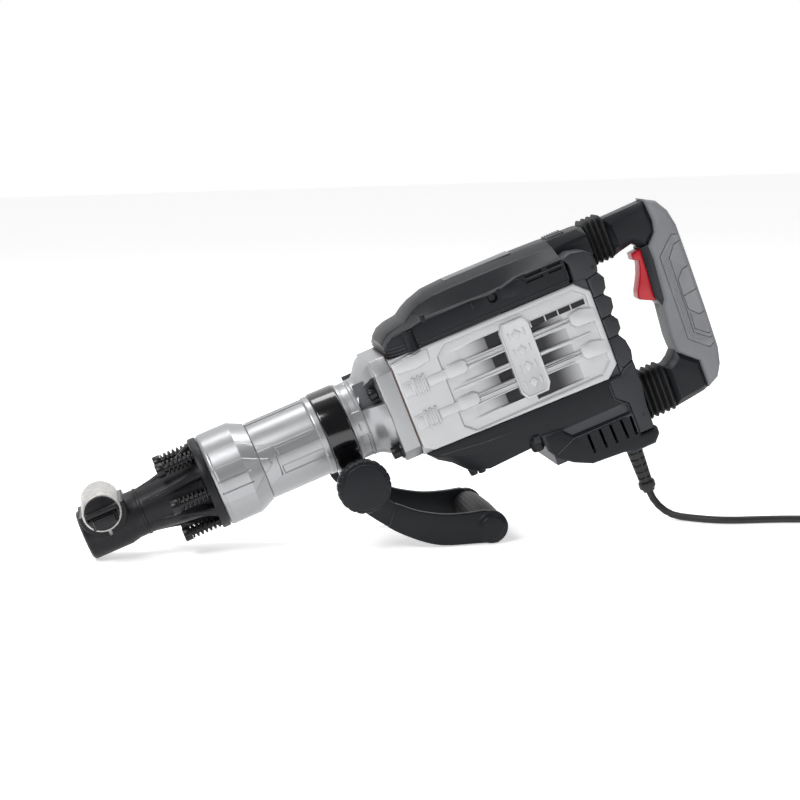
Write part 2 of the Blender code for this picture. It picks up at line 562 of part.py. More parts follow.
# ---------------------------------------------------------------- rear handle
def make_rear_handle():
    """Closed D-handle that slides on two guide pins, with bellows, soft back, trigger and switch."""
    outer = [(268, 51), (268, 94.5), (318, 94.5), (334, 89), (342, 72), (HANDLE_BACK_X, 60),
             (HANDLE_BACK_X, -100), (336, -117), (321, -125), (277, -128), (277, -79)]
    inner = [(286, -80), (297, -76), (301, -66), (299, 46), (292, 51)]
    half_w = 16.0
    handle = add_object("rear_handle", prism(outer + inner, -half_w, half_w), BLACK_PLASTIC)
    bevel(handle, 3.0, 1, 40.0)
    cut(handle, prism([(333, -77), (360, -77), (360, 61), (333, 58)], -20.0, 20.0))
    cut(handle, prism([(290, -16), (303, -16), (303, -60), (326, -60), (326, 50.5), (290, 50.5)], -9.6, 9.6))
    guides = [turned([(250, 0.0), (250, 6.3), (290, 6.3), (290, 0.0)], (0.0, 0.0, GUIDE_TOP_Z), sides=SMALL),
              turned([(250, 0.0), (250, 6.3), (298, 6.3), (298, 0.0)], (0.0, 0.0, GUIDE_LOW_Z), sides=SMALL)]
    cut(handle, joined(*guides))

    pad = [(333.3, -76.6), (HANDLE_BACK_X, -76.6), (HANDLE_BACK_X, 58.4), (333.3, 57.0)]
    grip_pad = add_object("grip_pad", prism(pad, -half_w, half_w), SOFT_GREY)
    bevel(grip_pad, 2.0, 1, 40.0)

    lever = [(287, 41), (289, 49), (313, 49), (313, 38), (301, 30), (299, -9), (294, -10), (278, 2), (282, 25)]
    pivot = (TRIGGER_PIVOT[0], 0.0, TRIGGER_PIVOT[1])
    add_object("trigger", prism(lever, -9.0, 9.0), RED, pivot)
    add_object("switch_block", block((308.5, -9.2, -57), (325.6, 9.2, -20)), DARK_GREY)

    for name, front, back, z in (("guide_pin_top", 245.0, 282.0, GUIDE_TOP_Z),
                                 ("guide_pin_low", REAR_X, 290.0, GUIDE_LOW_Z)):
        rod = [(front + GAP, 0.0), (front + GAP, 6.0), (back, 6.0), (back, 0.0)]
        add_object(name, turned(rod, (0.0, 0.0, z), sides=SMALL), BRIGHT_STEEL)
    for name, front, back, low, high, z in (("bellows_top", 245.0, 268.0, 51.0, 97.0, GUIDE_TOP_Z),
                                            ("bellows_low", REAR_X, 277.0, -129.0, -79.0, GUIDE_LOW_Z)):
        add_bellows(name, front + GAP, back - GAP, low, high, z)


def add_bellows(name, front, back, low, high, hole_z):
    """Three square folds round a guide pin."""
    folds = 3
    outline = [(front, low)]
    pitch = (back - front) / folds
    for k in range(folds):
        outline += [(front + (k + 0.5) * pitch, low + 4.0), (front + (k + 1) * pitch, low)]
    for k in reversed(range(folds)):
        outline += [(front + (k + 1) * pitch, high), (front + (k + 0.5) * pitch, high - 4.0)]
    outline.append((front, high))
    made = add_object(name, prism(outline, -17.0, 17.0), RUBBER)
    cut(made, turned([(front - 5, 0.0), (front - 5, 8.0), (back + 5, 8.0), (back + 5, 0.0)],
                     (0.0, 0.0, hole_z), sides=SMALL))


# ---------------------------------------------------------------- side handle
def make_clamp():
    """Split band round the barrel with two long ears, its cross bolt and the hand knob."""
    band = add_object("clamp_band", turned([(-90, 40.0), (-90, 44.0), (-62, 44.0), (-62, 40.0)], sides=FINE),
                      GLOSS_BLACK)
    ears = [prism([(-88, -62), (-63, -62), (-63, -40), (-88, -40)], side * 2.0, side * 52.7) for side in (-1, 1)]
    add(band, joined(*[outward(ear) for ear in ears]))
    cut(band, block((-100, -2.0, -70), (-50, 2.0, -30)))
    cut(band, turned([(-100, 0.0), (-100, 40.0), (-50, 40.0), (-50, 0.0)], sides=FINE))
    centre = (CLAMP_X, 0.0, CLAMP_Z)
    cut(band, turned([(-60, 0.0), (-60, 5.3), (60, 5.3), (60, 0.0)], centre, "Y", SMALL))
    bolt = [(-70, 0.0), (-70, 5.0), (ARM_OUT_Y + GAP, 5.0), (ARM_OUT_Y + GAP, 9.0), (66, 9.0), (66, 0.0)]
    add_object("clamp_bolt", turned(bolt, centre, "Y", SMALL), BRIGHT_STEEL, centre)
    near = -(ARM_OUT_Y + GAP)
    knob = [(near, 0.0), (near, 22.0), (near - 4, 28.0), (near - 12, 28.0), (near - 15, 22.0), (near - 17, 21.0),
            (near - 17, 0.0)]
    add_knob(knob, centre)


def add_knob(profile, centre):
    """Eight shallow scallops round the rim; the blind hole takes the bolt's end."""
    def scallop(angle):
        return 1.0 - 0.03 * (1.0 + math.cos(8.0 * angle))

    knob = add_object("clamp_knob", turned(profile, centre, "Y", FINE, scallop), BLACK_PLASTIC, centre)
    cut(knob, turned([(-71, 0.0), (-71, 5.3), (-50, 5.3), (-50, 0.0)], centre, "Y", SMALL))


def make_handle_arms():
    """Two bowed plate arms from the clamping bolt to the grip, and the grip between them."""
    upper = [(-58.5, -78), (-46, -90), (-31, -104), (-8, -118), (24, -130)]
    lower = [(-14, -149), (-30, -140), (-46, -127), (-64, -108), (-83, -80)]
    eye = arc((CLAMP_X, CLAMP_Z), 18.0, 215.0, -30.0, 9)
    tip = arc((GRIP_X, GRIP_Z), GRIP_END_R, 100.0, -110.0, 9)
    pivot = (CLAMP_X, 0.0, CLAMP_Z)
    for side, name in ((-1, "handle_arm_near"), (1, "handle_arm_far")):
        low_y, high_y = sorted((side * ARM_IN_Y, side * ARM_OUT_Y))
        arm = add_object(name, prism(eye + upper + tip + lower, low_y, high_y), BLACK_PLASTIC, pivot)
        bevel(arm, 1.0, 1, 50.0)
        cut(arm, turned([(-70, 0.0), (-70, 5.3), (70, 5.3), (70, 0.0)], pivot, "Y", SMALL))
    end = ARM_IN_Y - GAP
    grip = [(-end, 0.0), (-end, 15.5), (-end + 6, 15.5), (-26, 16.8), (0, 17.2), (26, 16.8), (end - 6, 15.5),
            (end, 15.5), (end, 0.0)]
    add_object("side_grip", turned(grip, (GRIP_X, 0.0, GRIP_Z), "Y"), RUBBER, pivot)


# ---------------------------------------------------------------- cord, coil and plug, on the floor
# Route of the free stretch on the floor, in metres from the point between the hammer's feet.
CORD_ROUTE = [
    (0.2690, 0.0052, 0.0300), (0.2723, 0.0046, 0.0229), (0.2765, 0.0027, 0.0166),
    (0.2814, -0.0002, 0.0113), (0.2868, -0.0042, 0.0074), (0.2924, -0.0090, 0.0049),
    (0.2981, -0.0143, 0.0041), (0.3059, -0.0220, 0.0041), (0.3154, -0.0305, 0.0041),
    (0.3274, -0.0386, 0.0041), (0.3419, -0.0448, 0.0041), (0.3599, -0.0490, 0.0041),
    (0.3799, -0.0525, 0.0041), (0.3999, -0.0570, 0.0041), (0.4199, -0.0631, 0.0041),
    (0.4399, -0.0697, 0.0041), (0.4552, -0.0746, 0.0041),
]
CORD_STEP = 0.016
COIL_AT = (504.5, -27.4)
COIL_TURN_R = (36.0, 60.0)     # middle of the innermost and the outermost turn
COIL_TALL = 16.4
PLUG_AT = (538.2, -31.9, 27.9)
PLUG_TURN_DEG = -7.6


def smooth_points(route, step):
    """Points at even steps along a curve through the route's points."""
    knots = [Vector(point) for point in route]
    ends = [2 * knots[0] - knots[1]] + knots + [2 * knots[-1] - knots[-2]]
    dense = []
    for a, b, c, d in zip(ends, ends[1:], ends[2:], ends[3:]):
        for k in range(12):
            t = k / 12
            dense.append(0.5 * (2 * b + (c - a) * t + (2 * a - 5 * b + 4 * c - d) * t ** 2
                                + (3 * b - a - 3 * c + d) * t ** 3))
    dense.append(knots[-1])
    length = sum((q - p).length for p, q in zip(dense, dense[1:]))
    count = round(length / step)
    points = [dense[0]]
    travelled = 0.0
    for p, q in zip(dense, dense[1:]):
        travelled += (q - p).length
        if travelled >= len(points) * length / count and len(points) < count:
            points.append(q)
    return points + [dense[-1]]


def make_strain_relief():
    profile = [(GLAND_TOP_Z - GAP, 0.0), (GLAND_TOP_Z - GAP, 10.0), (-150, 9.6), (-194, 7.4), (-194, 9.0),
               (-200, 8.8), (-200, 7.0), (GLAND_LOW_Z, 6.2), (GLAND_LOW_Z, 0.0)]
    add_object("strain_relief", turned(profile, (GLAND_X, 0.0, 0.0), "Z"), RUBBER)


def make_cord():
    """The free stretch of the mains cord, from the strain relief to the coil."""
    curve = bpy.data.curves.new("power_cord", "CURVE")
    curve.dimensions = "3D"
    curve.bevel_depth = CORD_R * MM
    curve.bevel_resolution = 2
    curve.use_fill_caps = True
    spline = curve.splines.new("POLY")
    points = smooth_points(CORD_ROUTE, CORD_STEP)
    spline.points.add(len(points) - 1)
    for slot, point in zip(spline.points, points):
        slot.co = (*point, 1.0)
    curve.materials.append(RUBBER)
    bpy.context.collection.objects.link(bpy.data.objects.new("power_cord", curve))


def make_coil_and_plug():
    """The rest of the cord, wound flat, as one ring; its plug lies on top."""
    inner = COIL_TURN_R[0] - CORD_R - GAP
    outer = COIL_TURN_R[1] + CORD_R + GAP
    ring = turned([(0.1, inner), (0.1, outer), (COIL_TALL, outer), (COIL_TALL, inner)],
                  (*COIL_AT, 0.0), "Z", FINE)
    add_object("cord_coil", ring, RUBBER, parent=None)
    rows = ((0.0, 6.0, 6.0), (14.0, 7.5, 7.0), (21.0, 14.0, 10.0), (50.0, 15.0, 11.0), (53.0, 13.5, 10.0))
    sections = []
    for along, half_w, half_t in rows:
        ring = []
        for k in range(8):
            angle = math.pi * (k + 0.5) / 4
            reach = 1.0 / max(abs(math.cos(angle)), abs(math.sin(angle)))
            ring.append((half_w * reach * math.cos(angle), along, half_t * reach * math.sin(angle)))
        sections.append(ring)
    body = moved(loft(sections), PLUG_TURN_DEG, "Z", shift=PLUG_AT)
    plug = add_object("plug", body, RUBBER, parent=None)
    pins = [turned([(48, 0.0), (48, 2.4), (72, 2.4), (72, 0.0)], (x, 0.0, 0.0), "Y", 8) for x in (-9.5, 9.5)]
    shape = moved(joined(*pins), PLUG_TURN_DEG, "Z", shift=PLUG_AT)
    boolean(plug, shape, "UNION", None)


make_tool_holder()
make_retainer()
make_head_bolts()
make_front_collar()
make_barrel()
make_hammer_parts()
make_crank_drive()
make_motor()
make_housings()
make_side_panels()
make_upper_cover()
make_lower_cover()
make_rear_cover()
make_rear_handle()
make_clamp()
make_handle_arms()
make_strain_relief()
make_cord()
make_coil_and_plug()
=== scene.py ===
import json
import math

import bmesh
import bpy
from mathutils import Matrix, Vector


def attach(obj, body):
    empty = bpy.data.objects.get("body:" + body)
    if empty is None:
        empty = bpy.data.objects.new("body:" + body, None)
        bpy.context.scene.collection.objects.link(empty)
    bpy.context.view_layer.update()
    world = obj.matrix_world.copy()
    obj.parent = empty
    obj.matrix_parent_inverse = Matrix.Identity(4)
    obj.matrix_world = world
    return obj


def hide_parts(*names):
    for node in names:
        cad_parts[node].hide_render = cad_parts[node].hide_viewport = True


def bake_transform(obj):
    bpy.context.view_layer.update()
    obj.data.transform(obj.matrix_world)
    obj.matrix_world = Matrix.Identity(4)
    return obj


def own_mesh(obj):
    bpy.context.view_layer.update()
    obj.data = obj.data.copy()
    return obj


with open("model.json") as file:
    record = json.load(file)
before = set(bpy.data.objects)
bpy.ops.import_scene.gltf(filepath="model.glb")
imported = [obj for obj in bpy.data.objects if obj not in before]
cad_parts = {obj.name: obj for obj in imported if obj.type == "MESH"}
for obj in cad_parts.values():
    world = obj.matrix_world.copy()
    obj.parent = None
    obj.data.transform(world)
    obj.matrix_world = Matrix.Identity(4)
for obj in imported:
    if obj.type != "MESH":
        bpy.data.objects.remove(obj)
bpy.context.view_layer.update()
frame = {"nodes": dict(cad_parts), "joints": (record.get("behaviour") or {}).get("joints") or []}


# ---- The studio -------------------------------------------------------------------------
# A pale seamless floor that runs on past the view, under one wide soft light from the front
# left, a long one behind the top of the hammer and a weak one that fills the near side. The floor
# glows a little, and the world is plain white where it is seen but dim in front as a light.

def studio_floor():
    reach, below = 9.0, -0.0002
    mesh = bpy.data.meshes.new("studio_floor")
    corners = [(-reach, -reach), (reach, -reach), (reach, reach), (-reach, reach)]
    mesh.from_pydata([(x, y, below) for x, y in corners], [], [(0, 1, 2, 3)])
    paper = bpy.data.materials.new("studio_paper")
    paper.use_nodes = True
    tree = paper.node_tree
    shader = tree.nodes["Principled BSDF"]
    shader.inputs["Roughness"].default_value = 0.85
    shader.inputs["Emission Color"].default_value = (1.0, 1.0, 1.0, 1)
    shader.inputs["Emission Strength"].default_value = 0.5
    grain = tree.nodes.new("ShaderNodeTexNoise")
    grain.inputs["Scale"].default_value = 3.0
    tint = tree.nodes.new("ShaderNodeValToRGB")
    tint.color_ramp.elements[0].color = (0.90, 0.90, 0.905, 1)
    tint.color_ramp.elements[1].color = (0.94, 0.94, 0.94, 1)
    tree.links.new(grain.outputs["Fac"], tint.inputs["Fac"])
    tree.links.new(tint.outputs["Color"], shader.inputs["Base Color"])
    mesh.materials.append(paper)
    floor = bpy.data.objects.new("studio_floor", mesh)
    bpy.context.collection.objects.link(floor)
    return floor


def soft_light(name, at, towards, size, power):
    lamp = bpy.data.lights.new(name, "AREA")
    lamp.shape = "RECTANGLE"
    lamp.size, lamp.size_y = size
    lamp.energy = power
    holder = bpy.data.objects.new(name, lamp)
    holder.location = at
    aim = Vector(towards) - Vector(at)
    holder.rotation_euler = aim.to_track_quat("-Z", "Y").to_euler()
    bpy.context.collection.objects.link(holder)


studio_floor()
soft_light("wide_key", (-1.5, -1.3, 2.0), (0.0, 0.0, 0.15), (1.1, 0.9), 42)
soft_light("long_top", (0.2, 0.5, 2.1), (0.0, 0.0, 0.15), (2.6, 0.6), 30)
soft_light("near_fill", (1.3, -2.2, 1.0), (0.05, 0.0, 0.15), (0.7, 1.2), 7)

sky = bpy.data.worlds.new("white_room")
sky.use_nodes = True
backdrop = sky.node_tree.nodes["Background"]
backdrop.inputs["Color"].default_value = (1.0, 1.0, 1.0, 1)
towards = sky.node_tree.nodes.new("ShaderNodeTexCoord")
parts = sky.node_tree.nodes.new("ShaderNodeSeparateXYZ")
behind = sky.node_tree.nodes.new("ShaderNodeMapRange")     # dark in front, bright behind
behind.inputs["From Min"].default_value = -0.25
behind.inputs["From Max"].default_value = 0.55
behind.inputs["To Min"].default_value = 0.10
behind.inputs["To Max"].default_value = 0.95
seen = sky.node_tree.nodes.new("ShaderNodeLightPath")
level = sky.node_tree.nodes.new("ShaderNodeMath")
level.operation = "MAXIMUM"
sky.node_tree.links.new(towards.outputs["Generated"], parts.inputs["Vector"])
sky.node_tree.links.new(parts.outputs["Y"], behind.inputs["Value"])
sky.node_tree.links.new(seen.outputs["Is Camera Ray"], level.inputs[0])
sky.node_tree.links.new(behind.outputs["Result"], level.inputs[1])
sky.node_tree.links.new(level.outputs["Value"], backdrop.inputs["Strength"])
bpy.context.scene.world = sky
bpy.context.scene.view_settings.view_transform = "Standard"

camera_data = bpy.data.cameras.new("camera")
camera_data.sensor_width = 36.0
camera_data.lens = 76.5
camera_data.clip_end = 50.0
camera = bpy.data.objects.new("camera", camera_data)
camera.location = (-0.354722, -1.725273, 0.442222)
camera.rotation_euler = [math.radians(turn) for turn in (80.4962, 1.2882, -11.5633)]
bpy.context.collection.objects.link(camera)
bpy.context.scene.camera = camera


# ---- The mains cord ---------------------------------------------------------------------
# Round black rubber cord, 8 mm thick. It leaves the boot under the rear of the body, sags to
# the floor, runs off to the right and ends wound in a flat coil of two layers of four turns.

MM = 0.001
CORD_R = 4.0
CORD_ROUTE = [
    (0.2690, 0.0052, 0.0300), (0.2723, 0.0046, 0.0229), (0.2765, 0.0027, 0.0166),
    (0.2814, -0.0002, 0.0113), (0.2868, -0.0042, 0.0074), (0.2924, -0.0090, 0.0049),
    (0.2981, -0.0143, 0.0041), (0.3059, -0.0220, 0.0041), (0.3154, -0.0305, 0.0041),
    (0.3274, -0.0386, 0.0041), (0.3419, -0.0448, 0.0041), (0.3599, -0.0490, 0.0041),
    (0.3799, -0.0525, 0.0041), (0.3999, -0.0570, 0.0041), (0.4199, -0.0631, 0.0041),
    (0.4399, -0.0697, 0.0041), (0.4552, -0.0746, 0.0041)]
COIL_AT = (0.5045, -0.0274)
COIL_START_DEG = -107.6          # where the cord first touches its coil
COIL_RADII = (60.0, 52.0, 44.0, 36.0, 36.0, 44.0, 52.0, 60.0)
LAYER_LOW, LAYER_HIGH = 4.1, 12.15
CHANGE_DEG = 66.0                # a turn moves over to the next in this much of its end
TAIL_DEG, TAIL_R, TAIL_HIGH = 100.0, 34.0, 27.7


def ease(value):
    """Runs from 0 to 1 with a gentle start and end."""
    value = min(1.0, max(0.0, value))
    return value * value * (3 - 2 * value)


def smooth_curve(route, parts):
    """A smooth curve through the route, with this many points to each stretch of it."""
    knots = [Vector(point) for point in route]
    ends = [2 * knots[0] - knots[1]] + knots + [2 * knots[-1] - knots[-2]]
    curve = []
    for a, b, c, d in zip(ends, ends[1:], ends[2:], ends[3:]):
        for k in range(parts):
            t = k / parts
            curve.append(0.5 * (2 * b + (c - a) * t + (2 * a - 5 * b + 4 * c - d) * t ** 2
                                + (3 * b - a - 3 * c + d) * t ** 3))
    return curve + [knots[-1]]


def through(route, step):
    """Points at even steps on a smooth curve through the route."""
    dense = smooth_curve(route, 12)
    points, travelled = [dense[0]], 0.0
    for p, q in zip(dense, dense[1:]):
        travelled += (q - p).length
        if travelled >= step:
            points.append(q)
            travelled = 0.0
    return points + [dense[-1]] if travelled > step / 3 else points[:-1] + [dense[-1]]


def coil_point(angle_deg, radius, height):
    angle = math.radians(COIL_START_DEG + angle_deg)
    return Vector((COIL_AT[0] + radius * MM * math.cos(angle),
                   COIL_AT[1] + radius * MM * math.sin(angle), height * MM))


def coil_points(step_deg=10):
    points = []
    last = len(COIL_RADII) - 1
    for turn, radius in enumerate(COIL_RADII):
        for angle in range(0, 360, step_deg):
            change = ease((angle - 360 + CHANGE_DEG) / CHANGE_DEG)
            after = COIL_RADII[min(turn + 1, last)]
            low = LAYER_LOW if turn < 4 else LAYER_HIGH
            high = LAYER_LOW if turn < 3 else LAYER_HIGH
            points.append(coil_point(angle, radius + (after - radius) * change,
                                     low + (high - low) * change))
    for angle in range(0, int(TAIL_DEG) + 1, 5):
        radius = COIL_RADII[-1] + (TAIL_R - COIL_RADII[-1]) * ease((angle - 15) / (TAIL_DEG - 15))
        height = LAYER_HIGH + (TAIL_HIGH - LAYER_HIGH) * ease(angle / 60)
        points.append(coil_point(angle, radius, height))
    return points


def hammer_coordinates(tree, stretch=(1, 1, 1)):
    """Object coordinates turned to the hammer's own frame, in millimetres."""
    where = tree.nodes.new("ShaderNodeTexCoord")
    turned_to = tree.nodes.new("ShaderNodeMapping")
    turned_to.vector_type = "TEXTURE"
    turned_to.inputs["Location"].default_value = hammer_frame.translation
    turned_to.inputs["Rotation"].default_value = hammer_frame.to_euler()
    turned_to.inputs["Scale"].default_value = [MM * part for part in stretch]
    tree.links.new(where.outputs["Object"], turned_to.inputs["Vector"])
    return turned_to.outputs["Vector"]


def noise(tree, vector, size_mm, detail=3.0, rough=0.55):
    texture = tree.nodes.new("ShaderNodeTexNoise")
    texture.inputs["Scale"].default_value = 1.0 / size_mm
    texture.inputs["Detail"].default_value = detail
    texture.inputs["Roughness"].default_value = rough
    tree.links.new(vector, texture.inputs["Vector"])
    return texture.outputs["Fac"]


def ramp(tree, factor, stops):
    node = tree.nodes.new("ShaderNodeValToRGB")
    band = node.color_ramp
    while len(band.elements) < len(stops):
        band.elements.new(0.5)
    for element, (place, colour) in zip(band.elements, stops):
        element.position = place
        element.color = (*colour, 1)
    tree.links.new(factor, node.inputs["Fac"])
    return node.outputs["Color"]


def scaled(colour, amount):
    return tuple(min(1.0, part * amount) for part in colour)


def skin(name, colour, rough, metallic=0.0, mottle=0.1, mottle_mm=40.0, grain_mm=0.5,
         depth_mm=0.05, spread=0.07, stretch=(1, 1, 1), edge_wear_and_highlight=None, coat=0.0, sheen_level=0.5):
    """A finish with cloudy colour, uneven gloss and a fine grain; its lightened edges are real wear on some
    finishes and a painted highlight on others.
    """
    material = bpy.data.materials.new(name)
    material.use_nodes = True
    tree = material.node_tree
    shader = tree.nodes["Principled BSDF"]
    shader.inputs["Metallic"].default_value = metallic
    shader.inputs["Coat Weight"].default_value = coat
    shader.inputs["Specular IOR Level"].default_value = sheen_level
    shader.inputs["Coat Roughness"].default_value = 0.12
    vector = hammer_coordinates(tree, stretch)
    cloud = noise(tree, vector, mottle_mm, 5.0, 0.6)
    tone = ramp(tree, cloud, [(0.3, scaled(colour, 1 - mottle)), (0.7, scaled(colour, 1 + mottle))])
    # Lighter edges from pointiness: real wear on some finishes, a painted highlight along the rims of the
    # black plastic.
    if edge_wear_and_highlight:
        edge = tree.nodes.new("ShaderNodeNewGeometry").outputs["Pointiness"]
        broken = tree.nodes.new("ShaderNodeMath")
        broken.operation = "MULTIPLY_ADD"
        broken.inputs[1].default_value = 0.03
        tree.links.new(noise(tree, vector, 3.0, 6.0, 0.7), broken.inputs[0])
        tree.links.new(edge, broken.inputs[2])
        mask = ramp(tree, broken.outputs["Value"], [(edge_wear_and_highlight[1], (0, 0, 0)), (edge_wear_and_highlight[2], (1, 1, 1))])
        mix = tree.nodes.new("ShaderNodeMix")
        mix.data_type = "RGBA"
        mix.inputs["B"].default_value = (*edge_wear_and_highlight[0], 1)
        tree.links.new(mask, mix.inputs["Factor"])
        tree.links.new(tone, mix.inputs["A"])
        tone = mix.outputs["Result"]
    tree.links.new(tone, shader.inputs["Base Color"])
    gloss = tree.nodes.new("ShaderNodeMapRange")
    gloss.inputs["To Min"].default_value = max(0.05, rough - spread)
    gloss.inputs["To Max"].default_value = min(1.0, rough + spread)
    tree.links.new(noise(tree, vector, mottle_mm * 0.35, 4.0), gloss.inputs["Value"])
    tree.links.new(gloss.outputs["Result"], shader.inputs["Roughness"])
    bump = tree.nodes.new("ShaderNodeBump")
    bump.inputs["Strength"].default_value = 0.5
    bump.inputs["Distance"].default_value = depth_mm * MM
    tree.links.new(noise(tree, vector, grain_mm, 2.0), bump.inputs["Height"])
    tree.links.new(bump.outputs["Normal"], shader.inputs["Normal"])
    return material


# The hammer slopes up to its rear handle. Its own frame, in millimetres, has x along the
# barrel towards the handle, y away from the near side and z up, with zero on the barrel's axis.
BAND_X = -76.0                   # the clamp band turns about the barrel here
band_turn = next(joint for joint in frame["joints"] if joint["name"] == "band_turn")
slope = math.atan2(band_turn["axis"][2], band_turn["axis"][0])
slope_turn = Matrix.Rotation(-slope, 4, "Y")
band_shift = slope_turn @ Vector((BAND_X * MM, 0, 0))
hammer_frame = Matrix.Translation(Vector(band_turn["pos_m"]) - band_shift) @ slope_turn

cord_rubber = skin("cord_rubber", (0.012, 0.012, 0.013), 0.5, mottle=0.2, mottle_mm=12,
                   grain_mm=0.35, depth_mm=0.05)

cord_curve = bpy.data.curves.new("mains_cord", "CURVE")
cord_curve.dimensions = "3D"
cord_curve.bevel_depth = CORD_R * MM
cord_curve.bevel_resolution = 3
cord_curve.use_fill_caps = True
cord_points = through(CORD_ROUTE, 0.009) + coil_points()
cord_spline = cord_curve.splines.new("POLY")
cord_spline.points.add(len(cord_points) - 1)
for knot, point in zip(cord_spline.points, cord_points):
    knot.co = (*point, 1.0)
cord_curve.materials.append(cord_rubber)
mains_cord = bpy.data.objects.new("mains_cord", cord_curve)
bpy.context.collection.objects.link(mains_cord)
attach(mains_cord, "housing")
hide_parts("power_cord", "cord_coil")


# ---- The plug and its boot --------------------------------------------------------------
# A moulded two-pin plug in the same rubber as the cord, with a waist for the fingers, ribs on
# both faces and turned steel pins. It lies on the coil, where the cord's end comes up.

def mesh_piece(name, shapes, materials, crease_deg=32.0, place=None):
    """One object from (points, faces, material number) shapes, given in millimetres."""
    place = hammer_frame if place is None else place
    points, faces, painted = [], [], []
    for shape_points, shape_faces, paint in shapes:
        start = len(points)
        points += [place @ (Vector(point) * MM) for point in shape_points]
        faces += [[start + i for i in face] for face in shape_faces]
        painted += [paint] * len(shape_faces)
    mesh = bpy.data.meshes.new(name)
    mesh.from_pydata(points, [], faces)
    mesh.polygons.foreach_set("material_index", painted)
    work = bmesh.new()
    work.from_mesh(mesh)
    bmesh.ops.recalc_face_normals(work, faces=work.faces)
    work.to_mesh(mesh)
    work.free()
    for material in materials:
        mesh.materials.append(material)
    mesh.shade_smooth()
    mesh.set_sharp_from_angle(angle=math.radians(crease_deg))
    piece = bpy.data.objects.new(name, mesh)
    bpy.context.collection.objects.link(piece)
    return piece


def settled(piece, crease_deg=32.0):
    """The piece with its modifiers worked into its mesh."""
    bpy.context.view_layer.update()
    graph = bpy.context.evaluated_depsgraph_get()
    mesh = bpy.data.meshes.new_from_object(piece.evaluated_get(graph), depsgraph=graph)
    piece.modifiers.clear()
    piece.data = mesh
    mesh.shade_smooth()
    mesh.set_sharp_from_angle(angle=math.radians(crease_deg))
    return piece


def rounded(piece, width_mm, segments=2, angle_deg=32.0, crease_deg=40.0):
    """Breaks the piece's edges with a small radius."""
    modifier = piece.modifiers.new("edges", "BEVEL")
    modifier.width = width_mm * MM
    modifier.segments = segments
    modifier.limit_method = "ANGLE"
    modifier.angle_limit = math.radians(angle_deg)
    modifier.use_clamp_overlap = True
    modifier.harden_normals = False
    return settled(piece, crease_deg)


def loft(sections, paint=0):
    """A closed body through rings of as many points each."""
    count = len(sections[0])
    points = [point for ring in sections for point in ring]
    faces = []
    for row in range(len(sections) - 1):
        low, high = row * count, (row + 1) * count
        for k in range(count):
            n = (k + 1) % count
            faces.append((low + k, low + n, high + n, high + k))
    faces += [tuple(range(count)), tuple(range(len(points) - count, len(points)))]
    return points, faces, paint


def turned(profile, sides=64, centre=(0.0, 0.0, 0.0), axis="X", rule=None, paint=0, hollow=False):
    """A turned body from (place along the axis, radius) points; rule(along, angle, r) shapes it."""
    points, faces = [], []
    for along, radius in profile:
        for k in range(sides):
            angle = 2 * math.pi * k / sides
            r = rule(along, angle, radius) if rule else radius
            across, up = r * math.sin(angle), r * math.cos(angle)
            spot = {"X": (along, across, up), "Y": (across, along, up), "Z": (across, up, along)}[axis]
            points.append(tuple(a + b for a, b in zip(spot, centre)))
    rows = len(profile) if hollow else len(profile) - 1
    for row in range(rows):
        low, high = row * sides, ((row + 1) % len(profile)) * sides
        for k in range(sides):
            n = (k + 1) % sides
            faces.append((low + k, low + n, high + n, high + k))
    if not hollow:
        faces += [tuple(range(sides)), tuple(range(len(points) - sides, len(points)))]
    return points, faces, paint


def finished(piece, body, slot, *nodes):
    """The piece moves with its body and stands for these nodes."""
    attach(piece, body)
    if nodes:
        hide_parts(*nodes)
    return piece


PLUG_AT = (538.2, -31.9, 27.9)
PLUG_TURN_DEG = -7.6
plug_place = Matrix.Translation(Vector(PLUG_AT) * MM) @ Matrix.Rotation(math.radians(PLUG_TURN_DEG), 4, "Z")
pin_steel = skin("pin_steel", (0.72, 0.70, 0.66), 0.24, 1.0, mottle=0.05, mottle_mm=6,
                 grain_mm=0.3, depth_mm=0.01)


def bulging_ring(half_wide, half_tall, squareness, count):
    """Points round a rectangle with bulging sides; with squareness 2 it is an ellipse."""
    ring = []
    for k in range(count):
        angle = 2 * math.pi * k / count
        c, s = math.cos(angle), math.sin(angle)
        ring.append((half_wide * math.copysign(abs(c) ** (2 / squareness), c),
                     half_tall * math.copysign(abs(s) ** (2 / squareness), s)))
    return ring


def plug_body():
    rows = [(0, 5.6, 5.6), (9, 6.0, 5.8), (14, 7.4, 6.8), (18, 10.8, 8.6), (22, 13.6, 9.8),
            (30, 13.2, 9.4), (36, 12.6, 9.0), (42, 13.4, 9.8), (46, 14.6, 10.8), (51, 14.6, 10.8),
            (53, 13.2, 9.6)]
    return loft([[(x, along, z) for x, z in bulging_ring(half_wide, half_tall, 3.2, 40)]
                 for along, half_wide, half_tall in rows])


def plug_rib(y, side):
    ring = [(-7.5, 8.4), (-6.5, 10.0), (6.5, 10.0), (7.5, 8.4)]
    return loft([[(x, y - 1.0, side * z) for x, z in ring], [(x, y + 1.0, side * z) for x, z in ring]])


plug_shapes = [plug_body()] + [plug_rib(y, side) for y in (27, 31, 35, 39) for side in (-1, 1)]
mains_plug = mesh_piece("mains_plug", plug_shapes, [cord_rubber], place=plug_place)
finished(mains_plug, "housing", "rubber", "plug")
pin_profile = [(50, 0.4), (50, 2.4), (70.6, 2.4), (71.6, 1.9), (72, 0.8)]
plug_pins = mesh_piece("plug_pins", [turned(pin_profile, 24, (x, 0, 0), "Y") for x in (-9.5, 9.5)],
                       [pin_steel], place=plug_place)
finished(plug_pins, "housing", "bright_steel")

